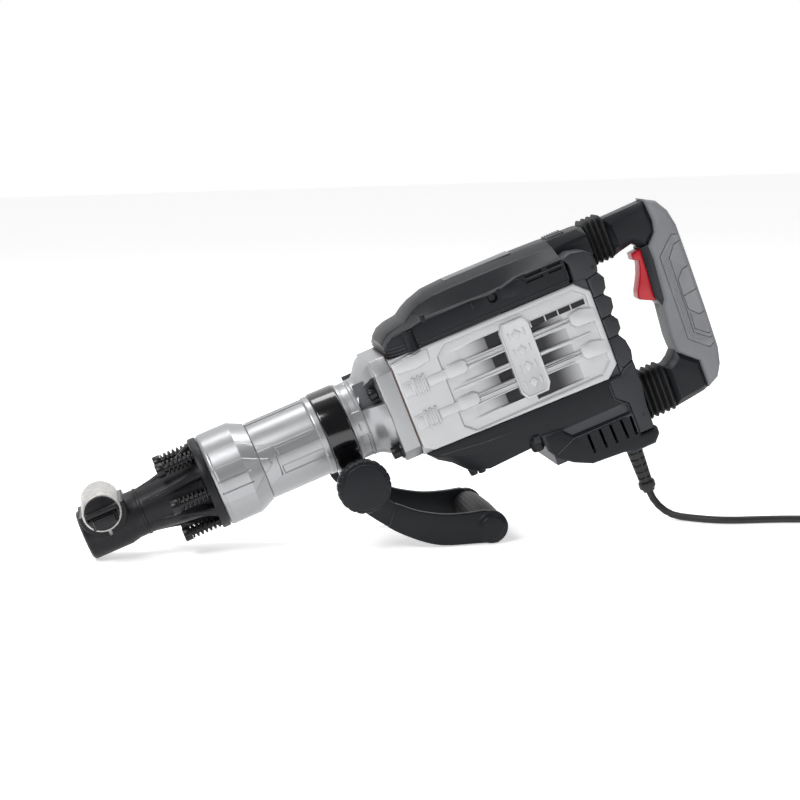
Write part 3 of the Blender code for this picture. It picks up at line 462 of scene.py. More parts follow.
# The boot: soft black rubber, moulded round the cord, with flexing slots and a thick lip.
BOOT_X, BOOT_TOP, BOOT_LOW = 219.0, -143.3, -204.0
boot_profile = [(BOOT_TOP, 3.0), (BOOT_TOP, 10.0), (-146.5, 9.9), (-147.5, 9.2), (-152, 9.0)]
for groove in (-156.0, -163.5, -171.0, -178.5, -186.0):
    wall = 9.0 - (-152 - groove) * 0.045
    boot_profile += [(groove + 1.4, wall), (groove + 1.0, wall - 1.3), (groove - 1.0, wall - 1.35),
                     (groove - 1.4, wall - 0.1)]
boot_profile += [(-191.5, 7.3), (-192.5, 8.6), (-194.0, 9.2), (-199.0, 9.1), (-200.3, 8.4),
                 (-200.8, 7.1), (BOOT_LOW, 6.4), (BOOT_LOW, 3.0)]


def boot_rule(along, angle, radius):
    """The slots stop at two side webs."""
    web = -191.0 < along < -154.0 and abs(math.sin(2 * angle)) < 0.42
    return max(radius, 9.0 - (-152 - along) * 0.045) if web else radius


cord_boot = mesh_piece("cord_boot", [turned(boot_profile, 56, (BOOT_X, 0, 0), "Z", boot_rule)],
                       [cord_rubber], 38)
finished(cord_boot, "housing", "rubber", "strain_relief")


# ---- The tool holder --------------------------------------------------------------------
# The nose that takes the chisel: one blackened steel casting with a 30 mm hexagon bore, six
# flared ribs and a thick flange, rough as cast, its edges rubbed bright. It slides 3 mm.

NOSE_FRONT, FLANGE_FRONT, FLANGE_REAR = -355.0, -222.0, -213.0
HEX_FLATS = 30.0
BOLT_RING_R = 41.5
BOLT_SEAT_R = 4.4
RETAINER_X, RETAINER_Z = -328.0, 22.0
blackened_cast = skin("blackened_cast", (0.011, 0.011, 0.013), 0.42, 0.35, mottle=0.3, mottle_mm=8,
                      grain_mm=1.0, depth_mm=0.3, spread=0.14, sheen_level=0.35,
                      edge_wear_and_highlight=((0.30, 0.30, 0.31), 0.60, 0.70))


def hexagon(angle, flats):
    """How far a hexagon with this width over its flats reaches in one direction."""
    turn = (angle % (math.pi / 3)) - math.pi / 6
    return flats / 2 / math.cos(turn)


def taken_from(piece, tool, operation="DIFFERENCE"):
    """Cuts the tool object's shape from the piece, or joins it on, and removes the tool."""
    modifier = piece.modifiers.new("cut", "BOOLEAN")
    modifier.operation = operation
    modifier.solver = "EXACT"
    modifier.use_self = True
    modifier.object = tool
    settled(piece)
    bpy.data.objects.remove(tool)
    return piece


def gusset(turn_deg):
    """A flared rib with a thick rounded crest."""
    crest = [(-291, 19), (-287, 24.6), (-272, 27.4), (-257, 31.2), (-243, 36.5), (-233, 41.5),
             (-226, 45.4), (-221, 47.4)]
    foot = 18.0
    rings = []
    for x, z in crest:
        half = 3.4 + 1.9 * ease((x + 245) / 24)
        lip = min(2.2, (z - foot) * 0.4)
        rings.append([(-half + 0.9, foot), (-half, z - lip), (-half + 1.4, z), (half - 1.4, z),
                      (half, z - lip), (half - 0.9, foot)])
    spin = Matrix.Rotation(math.radians(turn_deg), 3, "X")
    sections = []
    for (x, _), ring in zip(crest, rings):
        sections.append([tuple(spin @ Vector((x, y, z))) for y, z in ring])
    return loft(sections)


def tool_holder():
    outer = [(NOSE_FRONT, 10), (NOSE_FRONT, 23.6), (NOSE_FRONT + 0.6, 24.8), (-353.2, 26.2),
             (-351.5, 26.6), (-312.2, 26.6), (-310.6, 26.1), (-304.5, 24.9), (-303.4, 24.4),
             (-293.6, 24.4), (-293.0, 25.1), (-290.4, 25.1), (-289.8, 24.3), (-284, 24.5),
             (-270, 26.0), (-257, 28.0), (-240, 30.0), (-228, 32.5), (-223.6, 36.0),
             (FLANGE_FRONT, 40), (FLANGE_FRONT, 48.3), (-221.2, 49.3), (-220, 49.5), (-214.4, 49.5),
             (-213.4, 49.0), (FLANGE_REAR, 48.0), (FLANGE_REAR, 10)]
    body = mesh_piece("tool_holder_body", [turned(outer, 96)], [blackened_cast])
    saddle = mesh_piece("saddle", [turned([(-27.5, 10), (-27.5, 23.4), (-26.3, 24.6), (26.3, 24.6),
                                           (27.5, 23.4), (27.5, 10)],
                                          64, (RETAINER_X, 0, RETAINER_Z - 2.5), "Y")], [blackened_cast])
    taken_from(body, saddle, "UNION")
    top = mesh_piece("top_trim", [loft([[(x, -40, 24.6), (x, 40, 24.6), (x, 40, 60), (x, -40, 60)]
                                        for x in (-356, -296)])], [blackened_cast])
    taken_from(body, top)
    bore = turned([(-360, 10), (-243, 10)], 96, rule=lambda x, angle, r: hexagon(angle, HEX_FLATS))
    inner = turned([(-243.5, 15.5), (-210, 15.5)], 64)
    mouth = turned([(-358, 20.5), (-350, 14.0)], 64)
    seat = turned([(-60, 20.3), (60, 20.3)], 96, (RETAINER_X, 0, RETAINER_Z), "Y")
    for number, shape in enumerate((bore, inner, mouth, seat)):
        taken_from(body, mesh_piece(f"nose_cutter_{number}", [shape], [blackened_cast]))
    for k in range(6):
        angle = math.radians(30 + 60 * k)
        spot = (0, BOLT_RING_R * math.sin(angle), BOLT_RING_R * math.cos(angle))
        hole = turned([(-226, BOLT_SEAT_R), (-210, BOLT_SEAT_R)], 32, spot)
        taken_from(body, mesh_piece("nose_hole", [hole], [blackened_cast]))
    return body


nose_body = tool_holder()
finished(nose_body, "nose", "cast_black", "tool_holder")
nose_ribs = mesh_piece("tool_holder_ribs", [gusset(60 * k) for k in range(6)], [blackened_cast])
rounded(nose_ribs, 0.7, 2)
finished(nose_ribs, "nose", "cast_black")


# ---- The chisel retainer ----------------------------------------------------------------
# A crosswise steel pin, blasted pale grey, that locks the chisel in the bore. Its near end
# carries a black pressed lever, a bar across the face with a raised thumb pad under it.

RETAINER_R = 20.0
blasted_steel = skin("blasted_steel", (0.50, 0.49, 0.475), 0.5, 0.35, mottle=0.22, mottle_mm=5,
                     grain_mm=0.6, depth_mm=0.12, spread=0.12, edge_wear_and_highlight=((0.75, 0.74, 0.72), 0.60, 0.70))
pressed_black = skin("pressed_black", (0.011, 0.011, 0.013), 0.4, 0.3, mottle=0.25, mottle_mm=6,
                     grain_mm=0.7, depth_mm=0.12, sheen_level=0.35, edge_wear_and_highlight=((0.26, 0.26, 0.27), 0.60, 0.72))


pin_outline = [(-33.0, 2), (-33.0, 18.2), (-32.2, 19.4), (-31.0, RETAINER_R), (31.0, RETAINER_R),
               (32.4, 19.2), (33.0, 18.0), (33.0, 2)]
retainer_pin = mesh_piece("retainer_pin_shown", [turned(pin_outline, 96, (RETAINER_X, 0, RETAINER_Z), "Y")],
                          [blasted_steel])
saddle_cut = turned([(-60, 17.8), (60, 17.8)], 64, (0, 0, 0))
taken_from(retainer_pin, mesh_piece("saddle_cut", [saddle_cut], [blasted_steel]))
finished(retainer_pin, "retainer", "cast_grey", "retainer_pin")


def crosswise(outline, near, far, inset=0.0, paint=0, shift=(0.0, 0.0)):
    """A plate across the hammer from an (x, z) outline; inset narrows its near face."""
    low = [(x + shift[0], far, z + shift[1]) for x, z in outline]
    top = [(x + shift[0], near, z + shift[1]) for x, z in inset_outline(outline, inset)]
    return loft([low, top], paint)


def inset_outline(outline, inset):
    """The outline with every side moved inwards."""
    if not inset:
        return outline
    area = sum(a[0] * b[1] - b[0] * a[1] for a, b in zip(outline, outline[1:] + outline[:1]))
    side = 1.0 if area > 0 else -1.0
    moved = []
    count = len(outline)
    for k in range(count):
        before, here, after = (Vector(outline[(k + step) % count]) for step in (-1, 0, 1))
        into = (here - before).normalized()
        out = (after - here).normalized()
        first = Vector((-into.y, into.x)) * side
        second = Vector((-out.y, out.x)) * side
        both = (first + second).normalized()
        moved.append(tuple(here + both * (inset / max(0.35, both.dot(first)))))
    return moved


lever_at = (RETAINER_X, RETAINER_Z)
lever_shapes = [
    turned([(-37.3, 2), (-37.3, 13.4), (-36.4, 15.0), (-36.0, 17.0), (-35.0, 17.8), (-33.3, 18.0),
            (-33.3, 2)],
           72, (RETAINER_X, 0, RETAINER_Z), "Y"),
    crosswise([(-17.6, 1.4), (-15, 0.2), (15, 0.2), (17.6, 1.6), (17.6, 6.4), (-17.6, 6.4)],
              -43.6, -36.0, 0.9, shift=lever_at),
    crosswise([(-17.8, -3.0), (-14.6, -3.4), (-14.6, 1.2), (-17.8, 1.2)], -42.6, -36.0, 0.6,
              shift=lever_at),
    crosswise([(14.6, -4.0), (18.2, -2.6), (18.2, 2.8), (14.6, 2.0)], -42.6, -36.0, 0.6, shift=lever_at),
    crosswise([(-14.0, -13.6), (12.0, -13.6), (14.4, -11.4), (14.4, 0.6), (-14.0, 0.6)],
              -41.4, -36.0, 0.8, shift=lever_at),
    crosswise([(-12.2, -12.2), (11.2, -12.2), (12.6, -10.8), (12.6, -1.4), (-12.2, -1.4)],
              -45.3, -41.0, 1.3, shift=lever_at)]
retainer_lever = mesh_piece("retainer_lever_shown", lever_shapes, [pressed_black])
rounded(retainer_lever, 0.5, 2)
finished(retainer_lever, "retainer", "cast_black", "retainer_lever")


# ---- The head bolts and their springs ---------------------------------------------------
# Six socket head screws hold the nose to the barrel, each through a stout round-wire spring
# that takes up the nose's recoil. Blackened steel, oiled, rubbed bright on the wire.

HEAD_FRONT, HEAD_R, HEAD_TALL = -262.0, 7.5, 8.0
SHANK_R, SCREW_LONG = 4.0, 62.0
SPRING_FRONT, SPRING_REAR, SPRING_GAP = -253.9, -222.2, 1.2
WIRE_R, COIL_R, COIL_TURNS = 1.15, 6.2, 6.2
oiled_steel = skin("oiled_steel", (0.020, 0.020, 0.022), 0.3, 0.6, mottle=0.3, mottle_mm=5,
                   grain_mm=0.5, depth_mm=0.05, spread=0.12, edge_wear_and_highlight=((0.28, 0.28, 0.28), 0.60, 0.72))


def tree_with(name, sockets):
    """A Geometry Nodes tree with these named inputs; returns it and their identifiers."""
    tree = bpy.data.node_groups.new(name, "GeometryNodeTree")
    tree.interface.new_socket("Geometry", in_out="INPUT", socket_type="NodeSocketGeometry")
    tree.interface.new_socket("Geometry", in_out="OUTPUT", socket_type="NodeSocketGeometry")
    known = {}
    for label, kind in sockets:
        known[label] = tree.interface.new_socket(label, in_out="INPUT", socket_type=kind).identifier
    return tree, known


def painted_result(tree, given, geometry):
    """Ends a tree with real geometry in the finish it is given."""
    real = tree.nodes.new("GeometryNodeRealizeInstances")
    paint = tree.nodes.new("GeometryNodeSetMaterial")
    result = tree.nodes.new("NodeGroupOutput")
    tree.links.new(geometry, real.inputs["Geometry"])
    tree.links.new(real.outputs["Geometry"], paint.inputs["Geometry"])
    tree.links.new(given.outputs["Finish"], paint.inputs["Material"])
    tree.links.new(paint.outputs["Geometry"], result.inputs["Geometry"])


def ring_tree():
    """Stands copies of the geometry it is given round a circle."""
    tree, known = tree_with("on_a_ring", [("Count", "NodeSocketInt"), ("Ring radius", "NodeSocketFloat"),
                                          ("First at", "NodeSocketFloat"),
                                          ("Finish", "NodeSocketMaterial")])
    new, link = tree.nodes.new, tree.links.new
    given = new("NodeGroupInput")
    ring = new("GeometryNodeMeshCircle")
    copies = new("GeometryNodeInstanceOnPoints")
    position = new("GeometryNodeInputPosition")
    facing = new("FunctionNodeAlignEulerToVector")
    facing.axis = "X"
    facing.pivot_axis = "Z"
    spin = new("GeometryNodeTransform")
    turn = new("ShaderNodeCombineXYZ")
    link(given.outputs["Count"], ring.inputs["Vertices"])
    link(given.outputs["Ring radius"], ring.inputs["Radius"])
    link(ring.outputs["Mesh"], copies.inputs["Points"])
    link(given.outputs["Geometry"], copies.inputs["Instance"])
    link(position.outputs["Position"], facing.inputs["Vector"])
    link(facing.outputs["Rotation"], copies.inputs["Rotation"])
    link(copies.outputs["Instances"], spin.inputs["Geometry"])
    link(given.outputs["First at"], turn.inputs["Z"])
    link(turn.outputs["Vector"], spin.inputs["Rotation"])
    painted_result(tree, given, spin.outputs["Geometry"])
    return tree, known


def spring_tree():
    """One round-wire compression spring along Z, its end coils closed."""
    tree, known = tree_with("spring", [("Wire radius", "NodeSocketFloat"),
                                       ("Coil radius", "NodeSocketFloat"),
                                       ("Height", "NodeSocketFloat"), ("Turns", "NodeSocketFloat"),
                                       ("Finish", "NodeSocketMaterial")])
    new, link = tree.nodes.new, tree.links.new
    given = new("NodeGroupInput")
    coil = new("GeometryNodeCurveSpiral")
    coil.inputs["Resolution"].default_value = 22
    wire = new("GeometryNodeCurvePrimitiveCircle")
    wire.inputs["Resolution"].default_value = 12
    tube = new("GeometryNodeCurveToMesh")
    tube.inputs["Fill Caps"].default_value = True
    link(given.outputs["Turns"], coil.inputs["Rotations"])
    link(given.outputs["Coil radius"], coil.inputs["Start Radius"])
    link(given.outputs["Coil radius"], coil.inputs["End Radius"])
    link(given.outputs["Height"], coil.inputs["Height"])
    link(given.outputs["Wire radius"], wire.inputs["Radius"])
    link(coil.outputs["Curve"], tube.inputs["Curve"])
    link(wire.outputs["Curve"], tube.inputs["Profile Curve"])
    painted_result(tree, given, tube.outputs["Mesh"])
    return tree, known


def grown(name, made_by, values, place, start_mesh=None, crease_deg=35.0):
    """A plain mesh from a Geometry Nodes tree, put in its place."""
    tree, known = made_by
    mesh = start_mesh or bpy.data.meshes.new(name)
    piece = bpy.data.objects.new(name, mesh)
    bpy.context.collection.objects.link(piece)
    modifier = piece.modifiers.new("made", "NODES")
    modifier.node_group = tree
    for label, value in values.items():
        modifier[known[label]] = value
    settled(piece, crease_deg)
    piece.data.transform(place)
    return piece


def barrel_ring(x):
    """A frame on the barrel's axis: its Z runs to the rear, its X to the far side."""
    axes = Matrix(((0, 0, 1, x * MM), (1, 0, 0, 0), (0, 1, 0, 0), (0, 0, 0, 1)))
    return hammer_frame @ axes


def socket_screw(head_r, head_tall, shank_r, length, socket=0.52):
    """A socket head screw, its head's top at zero, with its shank towards +Z."""
    hole = head_r * socket
    bottom = head_tall * 0.6
    profile = [(bottom, 0.05), (bottom, hole), (0.0, hole), (0.0, head_r - 0.9), (0.25, head_r - 0.3),
               (0.9, head_r), (head_tall - 0.4, head_r), (head_tall, head_r - 0.3),
               (head_tall, shank_r), (length, shank_r), (length, 0.05)]

    def rule(along, angle, radius):
        if radius == hole:
            return hexagon(angle, 2 * hole * 0.92)
        if radius == head_r:
            return radius * (1 - 0.012 * (1 + math.cos(angle * 24)))
        return radius
    return turned(profile, 72, (0, 0, 0), "Z", rule)


on_a_ring = ring_tree()
no_place = Matrix.Identity(4)
screw_pattern = mesh_piece("screw_pattern", [socket_screw(HEAD_R, HEAD_TALL, SHANK_R, SCREW_LONG)],
                           [oiled_steel], place=no_place)
head_bolts = grown("head_bolts", on_a_ring,
                   {"Count": 6, "Ring radius": BOLT_RING_R * MM, "First at": 0.0, "Finish": oiled_steel},
                   barrel_ring(HEAD_FRONT), screw_pattern.data)
bpy.data.objects.remove(screw_pattern)
finished(head_bolts, "housing", "bright_steel", *[f"head_bolt_{k}" for k in range(1, 7)])

one_spring = grown("spring_pattern", spring_tree(),
                   {"Wire radius": WIRE_R * MM, "Coil radius": COIL_R * MM,
                    "Height": (SPRING_REAR - SPRING_FRONT - 2 * SPRING_GAP) * MM,
                    "Turns": COIL_TURNS, "Finish": oiled_steel},
                   Matrix.Translation((0, 0, SPRING_GAP * MM)))
head_springs = grown("head_springs", on_a_ring,
                     {"Count": 6, "Ring radius": BOLT_RING_R * MM, "First at": 0.0, "Finish": oiled_steel},
                     barrel_ring(SPRING_FRONT), one_spring.data)
bpy.data.objects.remove(one_spring)
finished(head_springs, "housing", "gear_steel", *[f"head_spring_{k}" for k in range(1, 7)])
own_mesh(head_springs)


# ---- The front collar and the barrel ----------------------------------------------------
# Two aluminium castings in satin silver paint. An arrow-shaped step is cast over the joint on
# both sides, with fine grooves on the collar and long flat channels down the barrel.

satin_silver = skin("satin_silver", (0.36, 0.365, 0.375), 0.33, 0.6, mottle=0.05, mottle_mm=45,
                    grain_mm=0.45, depth_mm=0.035, spread=0.06)
SLEEVE_BORE_R = 33.4            # both castings are bored for the cylinder sleeve
ARROW_TOP_DEG, ARROW_LOW_DEG = 36, 140   # the arrow lies between these, counted from the top
DEG_MM = 0.73                    # a degree round the barrel, in millimetres
OUTER_ARROW = [(-208, 44), (-175, 44), (-163, 53), (-143.5, 65.5), (-145, 87.5), (-145.5, 109.5),
               (-163, 122), (-175, 131), (-208, 131)]
INNER_ARROW = [(-214, 67), (-177, 67), (-153.5, 79), (-151.5, 88), (-177, 109.5), (-214, 109.5)]
COLLAR_GROOVES = [(-209.5, -174.5, 82.3), (-209.5, -175.5, 96.2)]


def step_height(x, side_deg, outline, r, soft=0.9):
    """1 inside the outline, falling to 0 over a soft edge; the outline is (x, degrees)."""
    inside, nearest = False, 1e9
    place = Vector((x, math.radians(side_deg) * r))
    corners = [Vector((a, math.radians(b) * r)) for a, b in outline]
    for p, q in zip(corners, corners[1:] + corners[:1]):
        if (p.y > place.y) != (q.y > place.y):
            if place.x < (q.x - p.x) * (place.y - p.y) / (q.y - p.y) + p.x:
                inside = not inside
        edge = q - p
        t = min(1.0, max(0.0, (place - p).dot(edge) / edge.length_squared))
        nearest = min(nearest, (place - p - edge * t).length)
    signed = nearest if inside else -nearest
    return ease(0.5 + signed / soft)


def collar_relief(x, angle, radius):
    """The collar's share of the arrow and its two fine grooves."""
    if radius < 38 or x < -212.0:
        return radius
    side = abs(math.degrees(math.atan2(math.sin(angle), math.cos(angle))))
    if not ARROW_TOP_DEG < side < ARROW_LOW_DEG:
        return radius
    up = 1.3 * step_height(x, side, OUTER_ARROW, 48)
    up += 1.2 * step_height(x, side, INNER_ARROW, 48)
    for start, end, middle in COLLAR_GROOVES:
        across = abs(side - middle) * math.radians(1) * 50
        if start < x < end:
            up -= 1.3 * (1 - ease(across / 1.0))
    return radius + up


def finely(profile, step):
    """The profile with a point at least every step along it."""
    fine = []
    for (a, r), (b, s) in zip(profile, profile[1:]):
        parts = max(1, round(abs(b - a) / step))
        fine += [(a + (b - a) * k / parts, r + (s - r) * k / parts) for k in range(parts)]
    return fine + [profile[-1]]


collar_outer = finely([(-212.7, 47.6), (-212.0, 48.4), (-210.7, 49.6), (-209.6, 50.0), (-178, 50.0),
                       (-162.2, 42.7)], 0.8)
collar_profile = [(-212.7, SLEEVE_BORE_R)] + collar_outer + [(-162.0, SLEEVE_BORE_R)]
front_collar = mesh_piece("front_collar_shown",
                          [turned(collar_profile, 400, rule=collar_relief, hollow=True)],
                          [satin_silver], 24)
finished(front_collar, "housing", "silver_paint", "front_collar")

CHANNELS = [(-170, -96.6, 9, 66.6, 1.5), (-142.5, -95.4, 69.0, 82.0, 0.9), (-143, -95.2, 96.6, 110.6, 1.1)]
NECK_PANELS = [(-57.6, -49.0, 6, 68, 0.9), (-55.6, -51.5, 83, 96.5, 0.9), (-58.6, -48.6, 103.5, 156, 0.9)]


def barrel_relief(x, angle, radius):
    """The long channels, the rear of the arrow and the neck's sunk panels."""
    if radius < 36:
        return radius
    side = abs(math.degrees(math.atan2(math.sin(angle), math.cos(angle))))
    r = radius
    if x < -95:
        for start, end, low, high, depth in CHANNELS:
            along = min(ease((x - start) / 1.0), ease((end - x) / 1.0))
            across = min(ease((side - low) * DEG_MM / 0.9), ease((high - side) * DEG_MM / 0.9))
            r -= depth * along * across
        if x < -140 and ARROW_TOP_DEG < side < ARROW_LOW_DEG:
            r += 1.6 * step_height(x, side, OUTER_ARROW, 43)
            r += 1.1 * step_height(x, side, INNER_ARROW, 43)
        if side < 4 or abs(side - 160) < 2.4:
            r -= 0.9 * ease((-96.0 - x) / 1.0)
    if x > -60:
        for start, end, low, high, depth in NECK_PANELS:
            slant = 0.0 if high < 70 or high > 100 else 1.0
            along = min(ease((x - start - slant) / 0.8), ease((end - x + slant) / 0.8))
            across = min(ease((side - low) * DEG_MM / 0.8), ease((high - side) * DEG_MM / 0.8))
            r -= depth * along * across
    return r


barrel_outer = finely([(-161.6, 41.6), (-160.8, 42.0), (-97.0, 42.0), (-96.4, 42.8), (-95.8, 43.0),
                       (-90.6, 43.0), (-90.3, 42.6)], 0.9)
barrel_outer += [(-90.2, 39.7), (-61.8, 39.7), (-61.7, 42.6), (-61.2, 43.0), (-59.6, 43.0), (-59.2, 42.6)]
barrel_outer += finely([(-59.0, 41.4), (-47.4, 41.4), (-47.0, 42.2), (-46.3, 42.2)], 0.7)
barrel_profile = [(-161.7, SLEEVE_BORE_R)] + barrel_outer + [(-46.2, SLEEVE_BORE_R)]
barrel_shell = mesh_piece("barrel_shown", [turned(barrel_profile, 400, rule=barrel_relief, hollow=True)],
                          [satin_silver], 24)
finished(barrel_shell, "housing", "silver_paint", "barrel")


# ---- The clamp band, its bolt and its knob ----------------------------------------------
# A split steel band in gloss black grips the barrel's neck. A through bolt with a big round
# black plastic knob on the near side pulls its two ears together and holds the side handle.

BAND_FRONT, BAND_REAR = -90.0, -62.0
CLAMP_X, CLAMP_Z = -75.5, -52.4
gloss_black = skin("gloss_black_enamel", (0.004, 0.004, 0.005), 0.14, 0.0, mottle=0.2, mottle_mm=30,
                   grain_mm=4.0, depth_mm=0.03, spread=0.05, coat=0.6)
band_profile = [(BAND_FRONT, 40.1), (BAND_FRONT, 43.3), (BAND_FRONT + 0.8, 44.0), (-88.4, 44.1),
                (-63.6, 44.1), (BAND_REAR - 0.8, 44.0), (BAND_REAR, 43.3), (BAND_REAR, 40.1)]
band_shapes = [turned(band_profile, 160, hollow=True)]
for side in (-1, 1):
    rows = [(2.0, 41.0, -61.6), (12.0, 41.0, -61.9), (30.0, 38.0, -62.0), (44.0, 36.0, -62.0),
            (52.6, 42.0, -62.0)]
    rings = []
    for y, up, low in rows:
        top = -math.sqrt(max(0.0, 40.4 ** 2 - y * y)) if y < 40 else -up
        top = min(top, -12.0) if y < 40 else -38.0
        rings.append([(-88, side * y, top), (-63, side * y, top), (-63, side * y, low + 4),
                      (-67, side * y, low), (-84, side * y, low), (-88, side * y, low + 4)])
    band_shapes.append(loft(rings))
clamp_band = mesh_piece("clamp_band_shown", band_shapes, [gloss_black])
rounded(clamp_band, 0.6, 2, 40)
finished(clamp_band, "band", "gloss_black", "clamp_band")

zinc_steel = skin("zinc_steel", (0.58, 0.57, 0.52), 0.3, 1.0, mottle=0.12, mottle_mm=5, grain_mm=0.4,
                  depth_mm=0.03)


def nut_rule(along, angle, radius):
    return hexagon(angle, 2 * radius * 0.9) if radius > 7 else radius


bolt_profile = [(-70, 2), (-70, 4.6), (-69.4, 5), (58.6, 5), (58.6, 8.2), (59.2, 9.4), (65.2, 9.4),
                (65.9, 8.2), (65.9, 5.4), (66.4, 5.2), (66.4, 2)]
clamp_bolt = mesh_piece("clamp_bolt_shown",
                        [turned(bolt_profile, 60, (CLAMP_X, 0, CLAMP_Z), "Y", nut_rule)], [zinc_steel])
finished(clamp_bolt, "band", "bright_steel", "clamp_bolt")

KNOB_NEAR, KNOB_REAR, KNOB_R = -76.3, -59.3, 28.0
# Its lighter edges are a painted highlight, standing for light caught along the plastic's rims.
moulded_black = skin("moulded_black", (0.008, 0.0095, 0.012), 0.38, 0.0, sheen_level=0.22, mottle=0.12,
                     mottle_mm=35, grain_mm=0.55, depth_mm=0.06, spread=0.06,
                     edge_wear_and_highlight=((0.10, 0.105, 0.115), 0.56, 0.66))
knob_profile = [(KNOB_NEAR, 1), (KNOB_NEAR, 21.4), (-76.0, 22.6), (-75.3, 23.3), (-74.4, 23.6),
                (-74.2, 24.6), (-74.0, 25.6), (-73.0, 27.0), (-71.4, 27.8), (-69.5, KNOB_R),
                (-63.5, KNOB_R), (-61.6, 27.4), (-60.4, 26.0), (-59.8, 24.0), (KNOB_REAR, 21.0),
                (KNOB_REAR, 1)]


def knob_rule(along, angle, radius):
    if radius < 24.5:
        return radius
    return radius - 0.9 * max(0.0, math.cos(angle * 18)) ** 3


clamp_knob = mesh_piece("clamp_knob_shown",
                        [turned(knob_profile, 216, (CLAMP_X, 0, CLAMP_Z), "Y", knob_rule)],
                        [moulded_black], 50)
finished(clamp_knob, "knob", "black_plastic", "clamp_knob")


# ---- The gearbox head -------------------------------------------------------------------
# The silver casting between barrel and crankcase: a flared neck that grows into a thick flange,
# with a pocket on each side for a black socket screw and a thin copper gasket behind it.

HEAD_START, PLATE_FRONT, PLATE_REAR = -46.0, -22.0, -3.3
PLATE_OUTLINE = [(-48.4, -42), (-37, -54), (37, -54), (48.4, -42), (48.4, 43), (33, 57), (-33, 57),
                 (-48.4, 43)]
POCKET_IN_Y, HEAD_BORE_R = 31.0, 33.8
SCREW_Y, HIGH_SCREW_Z, LOW_SCREW_Z = 38.5, 26.0, -40.5


def outline_reach(outline, angle):
    """How far the outline lies from zero in this direction, from up towards the far side."""
    way = Vector((math.sin(angle), math.cos(angle)))
    best = 0.0
    for p, q in zip(outline, outline[1:] + outline[:1]):
        p, q = Vector(p), Vector(q)
        edge = q - p
        crossing = way.x * edge.y - way.y * edge.x
        if abs(crossing) < 1e-9:
            continue
        reach = (p.x * edge.y - p.y * edge.x) / crossing
        along = (p.x * way.y - p.y * way.x) / crossing
        if reach > 0 and -1e-6 <= along <= 1 + 1e-6:
            best = max(best, reach)
    return best


def head_rule(x, angle, radius):
    """The neck's upper half grows out towards the flange's outline."""
    if radius < 40:
        return radius
    grown_by = ease((x + 41) / 21) * max(0.0, math.cos(angle)) ** 0.5
    return radius + (outline_reach(PLATE_OUTLINE, angle) - radius) * grown_by * 0.9


def on_side(shapes, side):
    """Shapes made for the near side (-1), turned over where the side is the far one (1)."""
    return [([(x, -side * y, z) for x, y, z in points], faces, paint) for points, faces, paint in shapes]


def both_sides(shapes):
    """The shapes and their mirror images on the other side of the hammer."""
    return shapes + on_side(shapes, 1)


def brick(low, high, paint=0):
    (a, b, c), (d, e, f) = low, high
    return loft([[(x, b, c), (x, e, c), (x, e, f), (x, b, f)] for x in (a, d)], paint)


head_profile = [(HEAD_START, 34)] + finely([(HEAD_START, 41.4), (-45.5, 42.0), (-40.5, 42.4), (-38, 43.4),
                                            (-34, 45.9), (-30, 48.2), (-26, 49.4), (-21.5, 50.0)], 1.5)
head_profile += [(-21.5, 34)]
head_cone = mesh_piece("head_cone", [turned(head_profile, 192, rule=head_rule, hollow=True)],
                       [satin_silver])
ARCH = [(-20.0, 14.0), (-46.0, 14.0), (-46.5, 19.0), (-43.0, 27.0), (-36.0, 35.0), (-26.0, 42.0),
        (-20.0, 43.5)]
for side in (-1, 1):
    low, high = sorted((side * POCKET_IN_Y, side * 62))
    pocket = mesh_piece("pocket", [crosswise(ARCH, low, high)], [moulded_black])
    taken_from(head_cone, pocket)
finished(head_cone, "housing", "silver_paint", "gearbox_head")

plate_rings = []
for x, shrink in ((PLATE_FRONT, 1.4), (PLATE_FRONT + 1.3, 0.0), (PLATE_REAR, 0.0)):
    plate_rings.append([(x, y, z) for y, z in inset_outline(PLATE_OUTLINE, shrink)])
head_plate = mesh_piece("head_flange", [loft(plate_rings)], [satin_silver])
rounded(head_plate, 1.6, 3)
bore = [turned([(-30, HEAD_BORE_R), (6, HEAD_BORE_R)], 96)]
taken_from(head_plate, mesh_piece("head_bore", bore, [satin_silver]))
finished(head_plate, "housing", "silver_paint")

copper_sheet = skin("copper_sheet", (0.17, 0.085, 0.05), 0.4, 0.6, mottle=0.2, mottle_mm=8)
gasket = mesh_piece("head_gasket", [loft([[(x, y * 1.003, z * 1.002) for y, z in PLATE_OUTLINE]
                                          for x in (-3.2, -2.75)])], [copper_sheet])
taken_from(gasket, mesh_piece("gasket_bore", bore, [copper_sheet]))
finished(gasket, "housing", "silver_paint")

# Thin black plates on the pockets' inner walls and a black ring round each upper screw, which make the
# pockets dark inside.
pocket_dark_plates = [brick((-45.6, -31.9, 14.1), (-22.4, -31.1, 41)), brick((-23.2, -47.0, 14.1), (-22.3, -31.1, 43)),
         turned([(-24.5, 7), (-24.5, 9), (-22.3, 9), (-22.3, 7)], 40, (0, -SCREW_Y, HIGH_SCREW_Z),
                hollow=True)]
pocket_plates = mesh_piece("head_pocket_dark_plates", both_sides(pocket_dark_plates), [moulded_black])
finished(pocket_plates, "housing", "black_plastic")


def along_barrel(shape, x, y, z):
    """A shape made along Z, laid along the barrel with its start at this place."""
    points, faces, paint = shape
    return [(x + c, y + a, z + b) for a, b, c in points], faces, paint


head_screw_shapes = []
washer = [(-24.6, 1), (-24.6, 8.4), (-23.8, 8.8), (-22.0, 8.8), (-22.0, 1)]
for y in (-SCREW_Y, SCREW_Y):
    head_screw_shapes.append(along_barrel(socket_screw(6.6, 9.5, 4, 12), -33.4, y, HIGH_SCREW_Z))
    head_screw_shapes.append(along_barrel(socket_screw(6.6, 9.5, 4, 12), -33.0, y, LOW_SCREW_Z))
    head_screw_shapes.append(turned(washer, 40, (0, y, LOW_SCREW_Z)))
head_screws = mesh_piece("head_flange_screws", head_screw_shapes, [oiled_steel])
finished(head_screws, "housing", "bright_steel")


